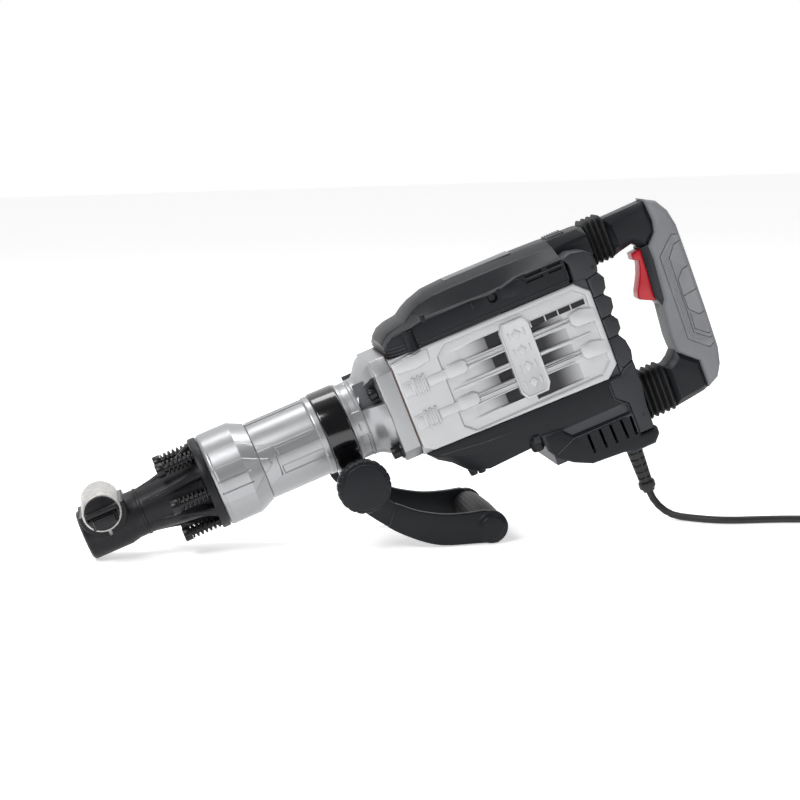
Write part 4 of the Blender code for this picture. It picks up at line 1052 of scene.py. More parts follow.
# ---- The crankcase and the motor housing ------------------------------------------------
# Castings behind the covers, screwed to the gearbox head. The crankcase is as-cast aluminium and
# the motor housing dark glass-filled plastic; only slivers show between the covers.

as_cast = skin("as_cast_aluminium", (0.46, 0.47, 0.48), 0.45, 0.7, mottle=0.1, mottle_mm=25,
               grain_mm=1.2, depth_mm=0.15, spread=0.1)
dark_plastic = skin("dark_plastic", (0.020, 0.022, 0.026), 0.44, 0.0, sheen_level=0.35, mottle=0.08,
                    mottle_mm=30, grain_mm=0.5, depth_mm=0.05, spread=0.05,
                    edge_wear_and_highlight=((0.05, 0.053, 0.06), 0.57, 0.67))


def repainted(material, *names):
    """Gives nodes that are carried as they are a detailed finish."""
    for name in names:
        node = frame["nodes"][name]
        node.data.materials.clear()
        node.data.materials.append(material)


repainted(as_cast, "crankcase", "bearing_plate")
repainted(dark_plastic, "motor_housing", "switch_block")


# ---- The side panels --------------------------------------------------------------------
# A pale silver casting on each side: a chamfered frame round a sunk field, with curved air
# scoops, twin rails that end in arrow blocks, finger bars at the front and a blank plate.

PANEL_OUT, PANEL_IN = 50.0, 45.8
PANEL_OUTLINE = [(-2, -46), (8, -52), (207, -57), (220.7, -45), (220.5, 38), (206, 51.5), (30, 52.5),
                 (-2, 48)]
FIELD = [(46, 37.5), (57, 46.2), (202.5, 46.2), (214, 35.6), (214, -38.5), (203, -50), (57, -50.5),
         (46, -41)]
SCOOPS_FRONT = [(22.4, 37.5), (0.6, 14.0), (-18.0, -4.6), (-39.5, -26.4)]
SCOOPS_REAR = [(20.4, 27.4), (-2.0, 13.0), (-18.6, -5.0), (-47.0, -26.4)]
SUNK, DEEP = 2.3, 4.1
pale_silver = skin("pale_silver", (0.50, 0.505, 0.515), 0.34, 0.35, mottle=0.04, mottle_mm=50,
                   grain_mm=0.5, depth_mm=0.03, spread=0.05)
hollow_silver = skin("hollow_silver", (0.46, 0.465, 0.475), 0.3, 0.5, mottle=0.04, mottle_mm=50,
                     grain_mm=0.5, depth_mm=0.03, spread=0.05)
deep_black = skin("deep_black", (0.006, 0.006, 0.007), 0.7, mottle=0.3, mottle_mm=5)
FLAT = 180 / math.pi             # makes step_height() measure a flat outline in millimetres


def edge_gap(x, z):
    """How far a point is inside the panel's outline."""
    gap = 1e9
    for (a, b), (c, d) in zip(PANEL_OUTLINE, PANEL_OUTLINE[1:] + PANEL_OUTLINE[:1]):
        length = math.hypot(c - a, d - b)
        gap = min(gap, ((c - a) * (z - b) - (d - b) * (x - a)) / length)
    return gap


def panel_depth(x, z):
    """How far the panel lies back from its face: rounded rim, sunk field and air scoops."""
    depth = 0.0
    gap = edge_gap(x, z)
    if gap < 2.0:
        depth += 2.0 - math.sqrt(max(0.0, 4.0 - (2.0 - max(gap, 0.0)) ** 2))
    if 44 < x < 216:
        sunk = step_height(x, z, FIELD, FLAT, 1.6)
        depth += SUNK * sunk
        rows = SCOOPS_FRONT if x < 130 else SCOOPS_REAR
        for low, high in rows:
            across = min(ease((z - low) / 1.3), ease((high - z) / 1.3))
            if across > 0 and x < 130:
                depth += (DEEP - SUNK) * across * ease((x - 54) / 52) ** 0.8
            elif across > 0:
                depth += (DEEP - SUNK) * across * (1 - ease((x - 146) / 46)) ** 0.8
    return min(depth, DEEP + 0.1)


def panel_sheet():
    """The panel's relief, trimmed to its outline and closed at the back."""
    xs = [-2.4 + 0.85 * k for k in range(264)]
    zs = [-57.4 + 0.85 * k for k in range(131)]
    work = bmesh.new()
    rows = [[work.verts.new((x, -(PANEL_OUT - panel_depth(x, z)), z)) for z in zs] for x in xs]
    for a, b in zip(rows, rows[1:]):
        for k in range(len(zs) - 1):
            work.faces.new((a[k], a[k + 1], b[k + 1], b[k]))
    for (a, b), (c, d) in zip(PANEL_OUTLINE, PANEL_OUTLINE[1:] + PANEL_OUTLINE[:1]):
        away = Vector((d - b, 0, a - c)).normalized()
        everything = list(work.verts) + list(work.edges) + list(work.faces)
        bmesh.ops.bisect_plane(work, geom=everything, plane_co=(a, 0, b), plane_no=away, clear_outer=True)
    rim = [edge for edge in work.edges if edge.is_boundary]
    pulled = bmesh.ops.extrude_edge_only(work, edges=rim)["geom"]
    for vert in pulled:
        if isinstance(vert, bmesh.types.BMVert):
            vert.co.y = -PANEL_IN
    back = [edge for edge in work.edges if edge.is_boundary]
    bmesh.ops.holes_fill(work, edges=back)
    work.verts.index_update()
    points = [(v.co.x, v.co.y, v.co.z) for v in work.verts]
    faces = [tuple(v.index for v in face.verts) for face in work.faces]
    work.free()
    return points, faces, 0


def panel_pads():
    """The raised features of the near panel."""
    top = -PANEL_OUT
    shapes = []
    for z in (17.7, -18.6):
        pad = [(-0.5, z - 8), (25.5, z - 8), (26.5, z - 7), (26.5, z + 8), (25.5, z + 9), (-0.5, z + 8.5)]
        shapes.append(crosswise(pad, top - 0.9, top + 1, 0.9))
        block = [(2.5, z - 5.6), (9.5, z - 5.6), (9.5, z + 6), (2.5, z + 6)]
        shapes.append(crosswise(block, top - 1.5, top, 0.7))
        for x in (13.2, 18.9, 24.6):
            bar = [(x - 1.5, z - 9.4), (x + 1.5, z - 9.4), (x + 1.5, z + 10.4), (x - 1.5, z + 10.4)]
            shapes.append(crosswise(bar, top - 2.9, top, 0.7))
        arm = [(26, z - 6), (50, z - 6), (50, z + 5.6), (26, z + 5.6)]
        shapes.append(crosswise(arm, top - 0.8, top + 2, 0.9))
        arrow = [(46.5, z - 6.2), (51, z - 8), (67.5, z - 8), (72.6, z - 4.6), (72.6, z + 4.6),
                 (67.5, z + 8), (52, z + 8), (46.5, z + 5.4)]
        shapes.append(crosswise(arrow, top - 1.3, top + 2.4, 1.7))
        rear = [(188, z - 5.4), (193, z - 10.6), (216, z - 12.2), (219, z - 10.5), (219, z + 3.6),
                (202, z + 8.4), (191, z + 6.6), (188, z + 4.2)]
        shapes.append(crosswise(rear, top - 0.9, top + 2.4, 1.7))
        for lift in (-2.1, 2.1):
            for start, end in ((70.5, 115), (147, 190)):
                rail = [(start, z + lift - 1.0), (end, z + lift - 1.0), (end, z + lift + 1.0),
                        (start, z + lift + 1.0)]
                shapes.append(crosswise(rail, top - 0.1, top + 3.6, 0.6))
    for start, end in ((50, 115), (147, 206)):
        rib = [(start, -4.4), (end, -4.4), (end, -1.6), (start, -1.0)]
        shapes.append(crosswise(rib, top + 0.3, top + 3.6, 0.7))
    for start, end in ((50, 115), (147, 180)):
        foot = [(start, -26.0), (end, -26.0), (end, -25.0), (start, -25.0)]
        shapes.append(crosswise(foot, top + 0.8, top + 3.6, 0.3))
    shapes.append(crosswise([(-1, 36), (20, 34), (38, 36), (40, 50.5), (30, 51.5), (-1, 47)],
                            top - 1.0, top + 1, 1.6))
    for k, x in enumerate((148.8, 165.4, 180.2, 194.9, 211.2)):
        post = [(x - 0.9, 26.6), (x + 0.9, 26.6), (x + 0.9, 33.6), (x - 0.9, 33.6)]
        shapes.append(crosswise(post, top + 0.4, top + 3.8, 0.3))
    return shapes


def nameplate_outline(grow):
    left, right, low, high, cut = 113.8 - grow, 147.8 + grow, -42.0 - grow, 42.4 + grow, 8.0
    return [(left + cut * 0.6, low), (right - cut * 0.6, low), (right, low + cut), (right, high - cut),
            (right - cut * 0.6, high), (left + cut * 0.6, high), (left, high - cut), (left, low + cut)]


def blank_plate():
    """A plain rimmed plate with a column of small embossed lozenges."""
    top = -PANEL_OUT
    outer, inner = nameplate_outline(0), nameplate_outline(-2.6)
    rim_out, rim_in = inset_outline(outer, 0.7), inset_outline(inner, -0.5)
    levels = [(outer, top + 3.6), (rim_out, top - 0.9), (rim_in, top - 0.9), (inner, top - 0.1)]
    shapes = [loft([[(x, y, z) for x, z in outline] for outline, y in levels])]
    for z in (-27, -9, 9, 27):
        lozenge = [(130.8, z - 6.5), (136.4, z), (130.8, z + 6.5), (125.2, z)]
        shapes.append(crosswise(lozenge, top - 0.9, top, 0.8))
        for shift in (-8.6, 8.6):
            left, right = 129.6 + shift, 132.0 + shift
            bar = [(left, z - 4), (right, z - 4), (right, z + 4), (left, z + 4)]
            shapes.append(crosswise(bar, top - 0.8, top, 0.6))
    return shapes


def panel_window_shade():
    """Black sheets at the ends of the scoops and along the slot row: painted shade standing for the dark
    inside of these openings.
    """
    shapes = []
    for low, high in SCOOPS_FRONT:
        opening = [(99.0, low + 0.8), (112.2, low + 0.8), (112.2, high - 1.4), (99.0, high - 1.4)]
        shapes.append(crosswise(opening, -PANEL_OUT + DEEP - 0.45, -46.0))
    slots = [(149, 27.2), (211.0, 27.4), (211.0, 32.8), (149, 32.8)]
    shapes.append(crosswise(slots, -PANEL_OUT + 1.1, -47.0))
    return shapes


def shaded_towards(material, place_x, near, far, colour):
    """Paints shade into the finish towards one place along the hammer.

    The real scoops run into a deep dark hollow there. The casting here is too thin for one, so
    this colour stands for its shade, and isn't a finish that the real casting has."""
    tree = material.node_tree
    paint = tree.nodes["Principled BSDF"].inputs["Base Color"]
    clean = paint.links[0].from_socket
    parts = tree.nodes.new("ShaderNodeSeparateXYZ")
    offset = tree.nodes.new("ShaderNodeMath")
    offset.operation = "SUBTRACT"
    offset.inputs[1].default_value = place_x
    away = tree.nodes.new("ShaderNodeMath")
    away.operation = "ABSOLUTE"
    share = tree.nodes.new("ShaderNodeMapRange")
    share.interpolation_type = "SMOOTHSTEP"
    share.inputs["From Min"].default_value = near
    share.inputs["From Max"].default_value = far
    mix = tree.nodes.new("ShaderNodeMix")
    mix.data_type = "RGBA"
    mix.inputs["A"].default_value = (*colour, 1)
    tree.links.new(hammer_coordinates(tree), parts.inputs["Vector"])
    tree.links.new(parts.outputs["X"], offset.inputs[0])
    tree.links.new(offset.outputs["Value"], away.inputs[0])
    tree.links.new(away.outputs["Value"], share.inputs["Value"])
    tree.links.new(share.outputs["Result"], mix.inputs["Factor"])
    tree.links.new(clean, mix.inputs["B"])
    tree.links.new(mix.outputs["Result"], paint)


shaded_towards(hollow_silver, 133.0, 21.0, 60.0, (0.022, 0.022, 0.025))


def shaded_scoops(panel):
    """Gives the floors of the air scoops the shaded finish."""
    panel.data.materials.append(hollow_silver)
    to_hammer = hammer_frame.inverted()
    for face in panel.data.polygons:
        place = to_hammer @ face.center
        if 50 < place.x / MM < 206 and panel_depth(place.x / MM, place.z / MM) > SUNK + 0.3:
            face.material_index = 1


near_panel = [panel_sheet()] + panel_pads() + blank_plate()
for side, name in ((-1, "near"), (1, "far")):
    sheet, *pads = on_side(near_panel, side)
    panel = mesh_piece(f"side_panel_{name}_shown", [sheet], [pale_silver], 28)
    shaded_scoops(panel)
    finished(panel, "housing", "pale_panel", f"side_panel_{name}")
    details = mesh_piece(f"side_panel_{name}_ribs", pads, [pale_silver], 28)
    rounded(details, 0.35, 2)
    finished(details, "housing", "pale_panel")
    # Black sheets in the panel's openings: painted shade.
    window_shade = mesh_piece(f"side_panel_{name}_openings", on_side(panel_window_shade(), side), [deep_black])
    finished(window_shade, "housing", "black_plastic")


# ---- The upper cover --------------------------------------------------------------------
# One moulding of black glass-filled plastic over the crank and motor, faceted like a helmet:
# upright walls to a ledge, then a sloped face and a flat top with a blank grey label.

COVER_HALF_W = 49.0
UPPER_ROWS = [(-1.0, 35.0, 63.5, 25, 66.5, 12, 68.5), (3.0, 41.0, 68.0, 26, 71.0, 12, 73.0),
              (10.0, 46.0, 73.0, 28, 76.0, 13, 77.5), (20.0, COVER_HALF_W, 75.5, 30, 78.6, 13, 80.0),
              (31.0, COVER_HALF_W, 77.0, 29, 80.6, 13, 82.0),
              (40.0, COVER_HALF_W, 78.6, 29, 86.6, 13, 89.0),
              (50.0, COVER_HALF_W, 79.2, 29, 91.4, 13, 94.6),
              (64.0, COVER_HALF_W, 79.0, 30, 94.6, 13, 99.0),
              (88.0, COVER_HALF_W, 78.4, 30, 95.2, 13, 100.4),
              (117.0, COVER_HALF_W, 77.0, 30, 95.2, 13, 100.5),
              (136.0, COVER_HALF_W, 78.0, 30, 95.0, 13, 100.3),
              (150.0, COVER_HALF_W, 81.5, 30, 94.8, 13, 100.0),
              (203.0, COVER_HALF_W, 81.5, 29, 93.2, 13, 98.4)]


def upper_ring(x, wall, ledge, edge_y, edge_z, top_y, top_z):
    """The cover's section: a wall up to its ledge, a slope to an edge and a flat top."""
    half = [(wall - 0.4, 53.0), (wall, 54.5), (wall, ledge - 1.2), (wall - 1.0, ledge),
            (wall - 4.0, ledge + 0.8), (edge_y + 1.2, edge_z - 1.0), (edge_y, edge_z), (top_y, top_z)]
    return [(x, -y, z) for y, z in half] + [(x, y, z) for y, z in reversed(half)]


upper_body = mesh_piece("upper_cover_shown", [loft([upper_ring(*row) for row in UPPER_ROWS])],
                        [moulded_black], 24)
rounded(upper_body, 0.9, 2, 20, 30)
COVER_SCREW = (121.5, 0, 71.5)
cover_cuts = [turned([(-60, 5.6), (-43.5, 5.4), (-43.4, 2)], 40, COVER_SCREW, "Y"),
              turned([(60, 5.6), (43.5, 5.4), (43.4, 2)], 40, COVER_SCREW, "Y")]
for x, width in ((170.0, 9.6), (193.0, 7.6)):
    for z in (78.2, 72.4):
        for side in (-1, 1):
            low, high = sorted((side * 46.0, side * 60.0))
            cover_cuts.append(brick((x - width, low, z - 1.3), (x + width, high, z + 1.3)))
taken_from(upper_body, mesh_piece("wells", cover_cuts, [deep_black]))
finished(upper_body, "housing", "black_plastic", "upper_cover")

tail_rows = [(201.0, 0.0), (220.0, 0.0), (221.6, 0.0), (238.0, 0.3), (243.6, 0.8), (244.5, 1.6)]


def tail_ring(x, shrink):
    """The narrow tail's section; it starts higher where the rear cover lies under it."""
    foot = 64.0 if x < 221.5 else 67.6
    shoulder = 66.0 if x < 221.5 else 69.0
    half = [(23.5, foot), (23.8, shoulder), (23.8 - shrink, 87.0), (22.6 - shrink, 89.5),
            (14.0, 97.6 - shrink), (12.6, 98.2 - shrink)]
    return [(x, -y, z) for y, z in half] + [(x, y, z) for y, z in reversed(half)]


cover_tail = mesh_piece("upper_cover_tail", [loft([tail_ring(*row) for row in tail_rows])],
                        [moulded_black], 24)
rounded(cover_tail, 0.6, 2, 20, 30)
finished(cover_tail, "housing", "black_plastic")


def strip(line, wide, near, far, taper=0.3):
    """A raised strip of even width along an (x, z) line on the near side."""
    shapes = []
    for (a, b), (c, d) in zip(line, line[1:]):
        length = math.hypot(c - a, d - b)
        nx, nz = -(d - b) / length * wide / 2, (c - a) / length * wide / 2
        tx, tz = (c - a) / length * wide * 0.3, (d - b) / length * wide * 0.3
        outline = [(a - nx - tx, b - nz - tz), (c - nx + tx, d - nz + tz), (c + nx + tx, d + nz + tz),
                   (a + nx - tx, b + nz - tz)]
        shapes.append(crosswise(outline, near, far, taper))
    return shapes


diamond = [(128.6, 66.0), (131.0, 77.2), (149.6, 82.0), (158.8, 75.6), (160.8, 69.0), (146.0, 62.5)]
cover_marks = [crosswise(diamond, -50.2, -48.0, 1.0)]
ledge_line = [(24.0, 75.0), (42.0, 78.0), (98.0, 77.6), (117.0, 75.8), (127.0, 76.8)]
cover_marks += strip(ledge_line, 1.6, -49.9, -47.0, 0.5)
cover_marks += strip([(33.0, 57.4), (204.0, 57.4)], 1.5, -49.8, -47.0, 0.4)
cover_marks += strip([(162.0, 80.8), (203.0, 80.6)], 1.4, -49.8, -47.0, 0.4)
cover_marks += strip([(162.0, 75.4), (203.0, 75.4)], 1.2, -49.7, -47.0, 0.4)
cover_marks += strip([(203.6, 57.0), (203.6, 80.0)], 1.0, -49.6, -47.0, 0.3)
cover_marks.append(turned([(69.4, 0.8), (69.4, 1.6), (75.0, 1.9), (76.2, 1.2)], 20, (98.4, -49.3, 0), "Z"))
cover_marks.append(turned([(76.0, 1.0), (76.0, 2.4), (82.5, 2.6), (84.0, 1.6)], 24, (46.0, -47.6, 0), "Z"))
tower = [(53.4, 3), (53.4, 7.6), (55.0, 7.0), (69.5, 6.4), (73.0, 6.5), (74.0, 6.0), (74.0, 4.0),
         (66.0, 3.9), (66.0, 0.5)]
cover_marks.append(turned(tower, 40, (25.5, -46.8, 0), "Z"))
cover_details = mesh_piece("upper_cover_details", both_sides(cover_marks), [moulded_black], 30)
rounded(cover_details, 0.3, 2)
finished(cover_details, "housing", "black_plastic")

screw_head = [(-44.6, 0.5), (-44.6, 3.4), (-44.0, 4.0), (-43.4, 4.0), (-43.4, 0.5)]
well_screws = mesh_piece("upper_cover_screws", both_sides([turned(screw_head, 30, COVER_SCREW, "Y")]),
                         [oiled_steel])
finished(well_screws, "housing", "bright_steel")

front_rings = []
for z, grow in ((55.5, 1.1), (59.0, 0.9), (62.2, 0.6)):
    front = [(34.0, 49.0 + grow), (22.0, 49.0 + grow), (10.0, 46.2 + grow), (3.0, 41.4 + grow),
             (-0.6 - grow, 35.4 + grow), (-1.0 - grow, 12.0)]
    ring = front + [(x, -y) for x, y in reversed(front)]
    front_rings.append(loft([[(x, y, z - 0.9) for x, y in ring], [(x, y, z + 0.9) for x, y in ring]]))
front_lips = mesh_piece("upper_cover_front_lips", front_rings, [moulded_black], 30)
rounded(front_lips, 0.35, 2)
finished(front_lips, "housing", "black_plastic")

label_grey = skin("label_grey", (0.15, 0.155, 0.165), 0.4, 0.1, mottle=0.05, mottle_mm=12, grain_mm=0.4,
                  depth_mm=0.02)
label = mesh_piece("top_label", [brick((88, -10.5, 100.0), (164, 10.5, 101.0)),
                                 brick((94, -7.5, 101.0), (158, 7.5, 101.15))], [label_grey])
rounded(label, 0.3, 2)
finished(label, "housing", "black_plastic")
top_grip = [brick((x, -11.5, 97.5), (x + 1.2, 11.5, 100.0)) for x in (206, 209, 212, 215, 218, 221, 224)]
top_ribs = mesh_piece("upper_cover_top_ribs", top_grip, [moulded_black])
finished(top_ribs, "housing", "black_plastic")


# ---- The lower cover --------------------------------------------------------------------
# The black moulding under the crankcase and the motor: a tray with sloping sides at the front
# and the deep fan pod at the rear, with its screw bosses and five slanted air slots.

LOWER_TRAY = [(-1, -53.5), (9, -66), (22, -75), (33, -87), (42, -92.6), (57, -97.2), (108, -95),
              (118, -98), (124, -104), (221, -104), (221, -57.5), (205, -57.5), (8, -52.6)]
FAN_POD = [(118.5, -84.5), (119.5, -103), (126, -113.6), (141, -126), (160, -135.6), (196, -138.2),
           (208, -142.6), (232, -142.6), (239.6, -134), (239.6, -126.6), (221.0, -126.6), (221.0, -98),
           (205.5, -98.5), (150, -97.6), (140, -86.0)]


def pillow(outline, half_wide, round_mm, steps=4, middle=0.0):
    """A body across the hammer from an (x, z) outline, its edges rounded over."""
    levels = []
    for k in range(steps + 1):
        angle = math.pi / 2 * k / steps
        levels.append((half_wide - round_mm + round_mm * math.sin(angle), round_mm * (1 - math.cos(angle))))
    rings = []
    for y, inset in reversed(levels):
        rings.append([(x, middle - y, z) for x, z in inset_outline(outline, inset)])
    for y, inset in levels:
        rings.append([(x, middle + y, z) for x, z in inset_outline(outline, inset)])
    return loft(rings)


def tray_rings():
    """The tray narrows under a crease that runs the length of the cover."""
    rings = []
    for y, lift in ((-49.0, 1.0), (-48.2, 0.62), (-39.0, 0.0), (39.0, 0.0), (48.2, 0.62), (49.0, 1.0)):
        ring = []
        for x, z in LOWER_TRAY:
            crease = -58.5 - 10.0 * ease((x - 8) / 110)
            ring.append((x, y, z + (max(z, crease) - z) * lift if z < crease else z))
        rings.append(ring)
    return loft(rings)


tray = mesh_piece("lower_cover_tray", [tray_rings()], [moulded_black], 26)
rounded(tray, 1.6, 3, 24)
finished(tray, "housing", "black_plastic", "lower_cover")

pod = mesh_piece("lower_cover_pod", [pillow(FAN_POD, 49.3, 4.5, 4)], [moulded_black], 26)
slot_tools = []
for top_x, low_x in ((165.2, 165.8), (178.8, 179.6), (191.0, 192.0), (203.6, 204.8), (215.0, 214.8)):
    outline = [(top_x - 1.5, -103.0), (top_x + 1.5, -103.0), (low_x + 1.5, -124.5), (low_x - 1.5, -124.5)]
    for side in (-1, 1):
        low, high = sorted((side * 45.5, side * 60))
        slot_tools.append(loft([[(x, low, z) for x, z in outline], [(x, high, z) for x, z in outline]]))
taken_from(pod, mesh_piece("pod_slots", slot_tools, [deep_black]))
finished(pod, "housing", "black_plastic")

big_boss = [(-100.0, 2.0), (-100.0, 5.4), (-98.4, 6.6), (-93, 7.4), (-86, 7.4), (-86, 2)]
boss_shapes = [turned(big_boss, 40, (112.0, -40.0, 0), "Z"),
               turned([(-98.6, 2), (-98.6, 4.0), (-90, 5.4), (-90, 2)], 32, (40.5, -30.0, 0), "Z"),
               turned([(-99.6, 2), (-99.6, 4.0), (-90, 5.4), (-90, 2)], 32, (49.5, -30.0, 0), "Z"),
               crosswise([(104, -92), (119, -94), (119, -80), (108, -80)], -48.6, -30, 3.0)]
boss_shapes += strip([(12.0, -60.0), (60.0, -66.0), (118.0, -70.0)], 1.4, -48.9, -45.0, 0.5)
rear_line = [(204.6, -63.0), (204.8, -79.5), (216.5, -90.2), (217.2, -123.0)]
boss_shapes += strip(rear_line, 1.2, -50.0, -47.0, 0.4)
boss_shapes += strip([(127.0, -110.0), (150.0, -101.0), (216.0, -101.0)], 1.2, -49.8, -47.0, 0.4)
bosses = mesh_piece("lower_cover_bosses", both_sides(boss_shapes), [moulded_black], 30)
rounded(bosses, 0.4, 2)
finished(bosses, "housing", "black_plastic")


# ---- The rear cover ---------------------------------------------------------------------
# Dark grey plastic across the back of the motor, moulded as a stack of rounded steps with a
# groove between each two and square recesses for its screws; the handle's guides pass through.

REAR_STEPS = [
    [(207.5, 53.0), (208.0, 72.0), (203.0, 80.0), (214.0, 83.0), (228.0, 80.0), (236.0, 73.0),
     (237.4, 62.0), (235.4, 53.2), (222.0, 50.4)],
    [(222.0, 49.6), (235.2, 52.4), (239.6, 45.0), (237.6, 34.0), (233.0, 29.6), (221.6, 28.8)],
    [(221.6, 28.0), (233.0, 28.8), (239.6, 22.0), (238.4, 12.0), (233.4, 6.0), (221.6, 5.2)],
    [(221.6, 4.4), (233.4, 5.2), (238.6, -2.0), (238.0, -12.0), (233.4, -16.6), (221.6, -17.4)],
    [(221.6, -18.2), (233.4, -17.4), (238.6, -26.0), (240.6, -38.0), (238.8, -47.6), (226.0, -52.0),
     (221.2, -46.0)],
    [(206.0, -59.0), (221.4, -58.0), (226.6, -52.8), (238.6, -48.6), (239.0, -76.0), (236.0, -98.0),
     (236.0, -125.5), (218.4, -125.5), (218.0, -90.0), (206.2, -79.0)]]
rear_shapes = [pillow(outline, 49.4, 2.6, 3) for outline in REAR_STEPS]
rear_shapes.append(brick((222, -46, -125), (234, 46, 66)))
rear_steps = mesh_piece("rear_cover_shown", rear_shapes, [dark_plastic], 30)
finished(rear_steps, "housing", "dark_grey_plastic", "rear_cover")
RECESSES = [(231.6, 60.2), (232.4, -0.6), (229.4, -107.0)]
# The screw recesses are not cut: black squares under the screws stand for their shade, as painted shade.
recess_shade_squares = []
for x, z in RECESSES:
    square = [(x - 3.2, z - 4.0), (x + 2.8, z - 4.0), (x + 2.8, z + 4.0), (x - 3.2, z + 4.0)]
    recess_shade_squares.append(crosswise(square, -49.35, -47.0, 0.2))
recesses = mesh_piece("rear_cover_recess_shade", both_sides(recess_shade_squares), [deep_black])
finished(recesses, "housing", "black_plastic")
small_head = [(-49.6, 0.5), (-49.6, 1.8), (-49.0, 2.3), (-48, 2.3), (-48, 0.5)]
recess_screws = both_sides([turned(small_head, 24, (x - 0.2, 0, z), "Y") for x, z in RECESSES])
finished(mesh_piece("rear_cover_screws", recess_screws, [oiled_steel]), "housing", "bright_steel")

stub_outline = [(236, -76), (244.0, -79), (244.0, -127), (236, -124)]
stub = mesh_piece("rear_cover_stub", [pillow(stub_outline, 22.0, 6.0, 2)], [moulded_black], 24)
finished(stub, "housing", "black_plastic")


# ---- The bellows and the guide pins -----------------------------------------------------
# Moulded black rubber sleeves over the rear handle's two guide pins. Their folds give as the
# sprung handle slides; here each sleeve is one fixed mesh, not tied to the body or the handle.

matt_rubber = skin("matt_rubber", (0.009, 0.009, 0.010), 0.5, mottle=0.25, mottle_mm=9, grain_mm=0.5,
                   depth_mm=0.06, spread=0.08, sheen_level=0.35, edge_wear_and_highlight=((0.03, 0.03, 0.033), 0.57, 0.68))


BELLOWS_HALF_W, FOLD_DEPTH = 18.6, 3.4


def bellows(name, node, start, end, low, high, folds):
    """A folded sleeve of rectangular section with well rounded corners."""
    middle, half_tall = (low + high) / 2, (high - low) / 2
    rings = []
    steps = folds * 8
    for k in range(steps + 1):
        t = k / steps
        x = start + (end - start) * t
        swell = 0.5 - 0.5 * math.cos(2 * math.pi * folds * t)
        sink = FOLD_DEPTH * (1 - swell ** 0.7)
        fold = bulging_ring(BELLOWS_HALF_W - sink, half_tall - sink, 5.0, 48)
        rings.append([(x, y, middle + z) for y, z in fold])
    piece = mesh_piece(name, [loft(rings)], [matt_rubber], 50)
    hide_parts(node)
    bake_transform(piece)


bellows("bellows_top_shown", "bellows_top", 244.8, 268.6, 52.0, 101.5, 4)
bellows("bellows_low_shown", "bellows_low", 243.8, 277.0, -128.0, -74.0, 5)
repainted(pin_steel, "guide_pin_top", "guide_pin_low")


# ---- The rear handle --------------------------------------------------------------------
# A closed D handle: two faceted black plastic arms and a soft grey overmoulded grip with fine
# ribs along a zig-zag band and shallow grooves laid out as half hexagons.

UPPER_ARM = [(268.6, 53.5), (275, 55.5), (291, 58.8), (298, 52.2), (305, 49.0), (319, 60.0),
             (322, 72.0), (319.0, 96.6), (268.6, 95.4)]
LOWER_ARM = [(277.0, -78.6), (283, -77.6), (290, -73.0), (296.4, -66.5), (318.6, -86.0),
             (319.4, -118.5), (312, -121.6), (277.0, -125.8)]
GRIP = [(317.6, 98.8), (330.0, 92.0), (338.6, 78.0), (342.6, 60.0), (343.0, 20.0), (343.0, -40.0),
        (342.2, -82.0), (338.4, -100.0), (331.0, -113.0), (317.4, -119.6), (317.4, -88.4),
        (296.4, -69.4), (295.6, -62.0), (295.4, -50.0), (298.4, -16.0), (302.6, -10.0), (305.0, 18.0),
        (306.4, 34.0), (305.6, 50.0), (316.8, 61.6), (319.4, 74.0)]
soft_grey = skin("soft_grey_overmould", (0.185, 0.19, 0.20), 0.62, 0.0, mottle=0.06, mottle_mm=30,
                 grain_mm=0.45, depth_mm=0.09, spread=0.06, edge_wear_and_highlight=((0.26, 0.265, 0.28), 0.57, 0.68))

arm_shapes = [pillow(UPPER_ARM, 16.4, 7.5, 1), pillow(LOWER_ARM, 16.4, 6.5, 1)]
switch_wall = [(297.6, 51.0), (296.6, 30), (294.4, -5.0), (298.6, -15.4), (306, -12.0), (308, 52.0)]
arm_shapes.append(crosswise(switch_wall, -12.6, 12.6))
arm_shapes += strip([(275.6, 84.6), (277.0, 58.6)], 1.1, -16.7, -15.0, 0.3)
arm_shapes += strip([(284.6, -84.0), (284.8, -119.0)], 1.1, -16.7, -15.0, 0.3)
handle_arms = mesh_piece("rear_handle_arms", arm_shapes, [moulded_black], 20)
rounded(handle_arms, 0.9, 2, 20, 30)
taken_from(handle_arms, mesh_piece("trigger_room", [brick((270, -9.4, -9.0), (306, 9.4, 50.4))],
                                   [moulded_black]))
finished(handle_arms, "rear_handle", "black_plastic", "rear_handle")

grip = mesh_piece("rear_handle_grip", [pillow(GRIP, 17.0, 6.0, 5)], [soft_grey], 30)
taken_from(grip, mesh_piece("trigger_slot", [brick((290, -9.4, -14.0), (315, 9.4, 50.6))], [soft_grey]))
BAND_EDGE = [(340.5, 50.0), (332.6, 52.9), (312.6, 35.0), (312.2, -60.0), (332.0, -77.6), (340.5, -74.0)]
FIELD_EDGE = [(340.5, 43.2), (331.8, 42.2), (322.2, 30.1), (320.6, -55.5), (335.9, -68.0), (340.5, -66.6)]
HALF_HEXAGONS = [[(341.0, 15.6), (331.1, 13.2), (323.6, 4.6), (323.0, -14.3), (341.0, -12.0)],
                 [(323.0, -14.3), (323.4, -29.5), (332.8, -39.4), (341.0, -38.2)],
                 [(324.0, -34.8), (323.2, -52.5), (336.0, -62.6), (341, -62)]]
groove_tools = []
for line in [BAND_EDGE, FIELD_EDGE] + HALF_HEXAGONS:
    groove_tools += strip(line, 1.1, -22.0, -15.9, -0.1)
for number, shape in enumerate(both_sides(groove_tools)):
    taken_from(grip, mesh_piece(f"groove_{number}", [shape], [soft_grey]))
finished(grip, "rear_handle", "soft_grey", "grip_pad")


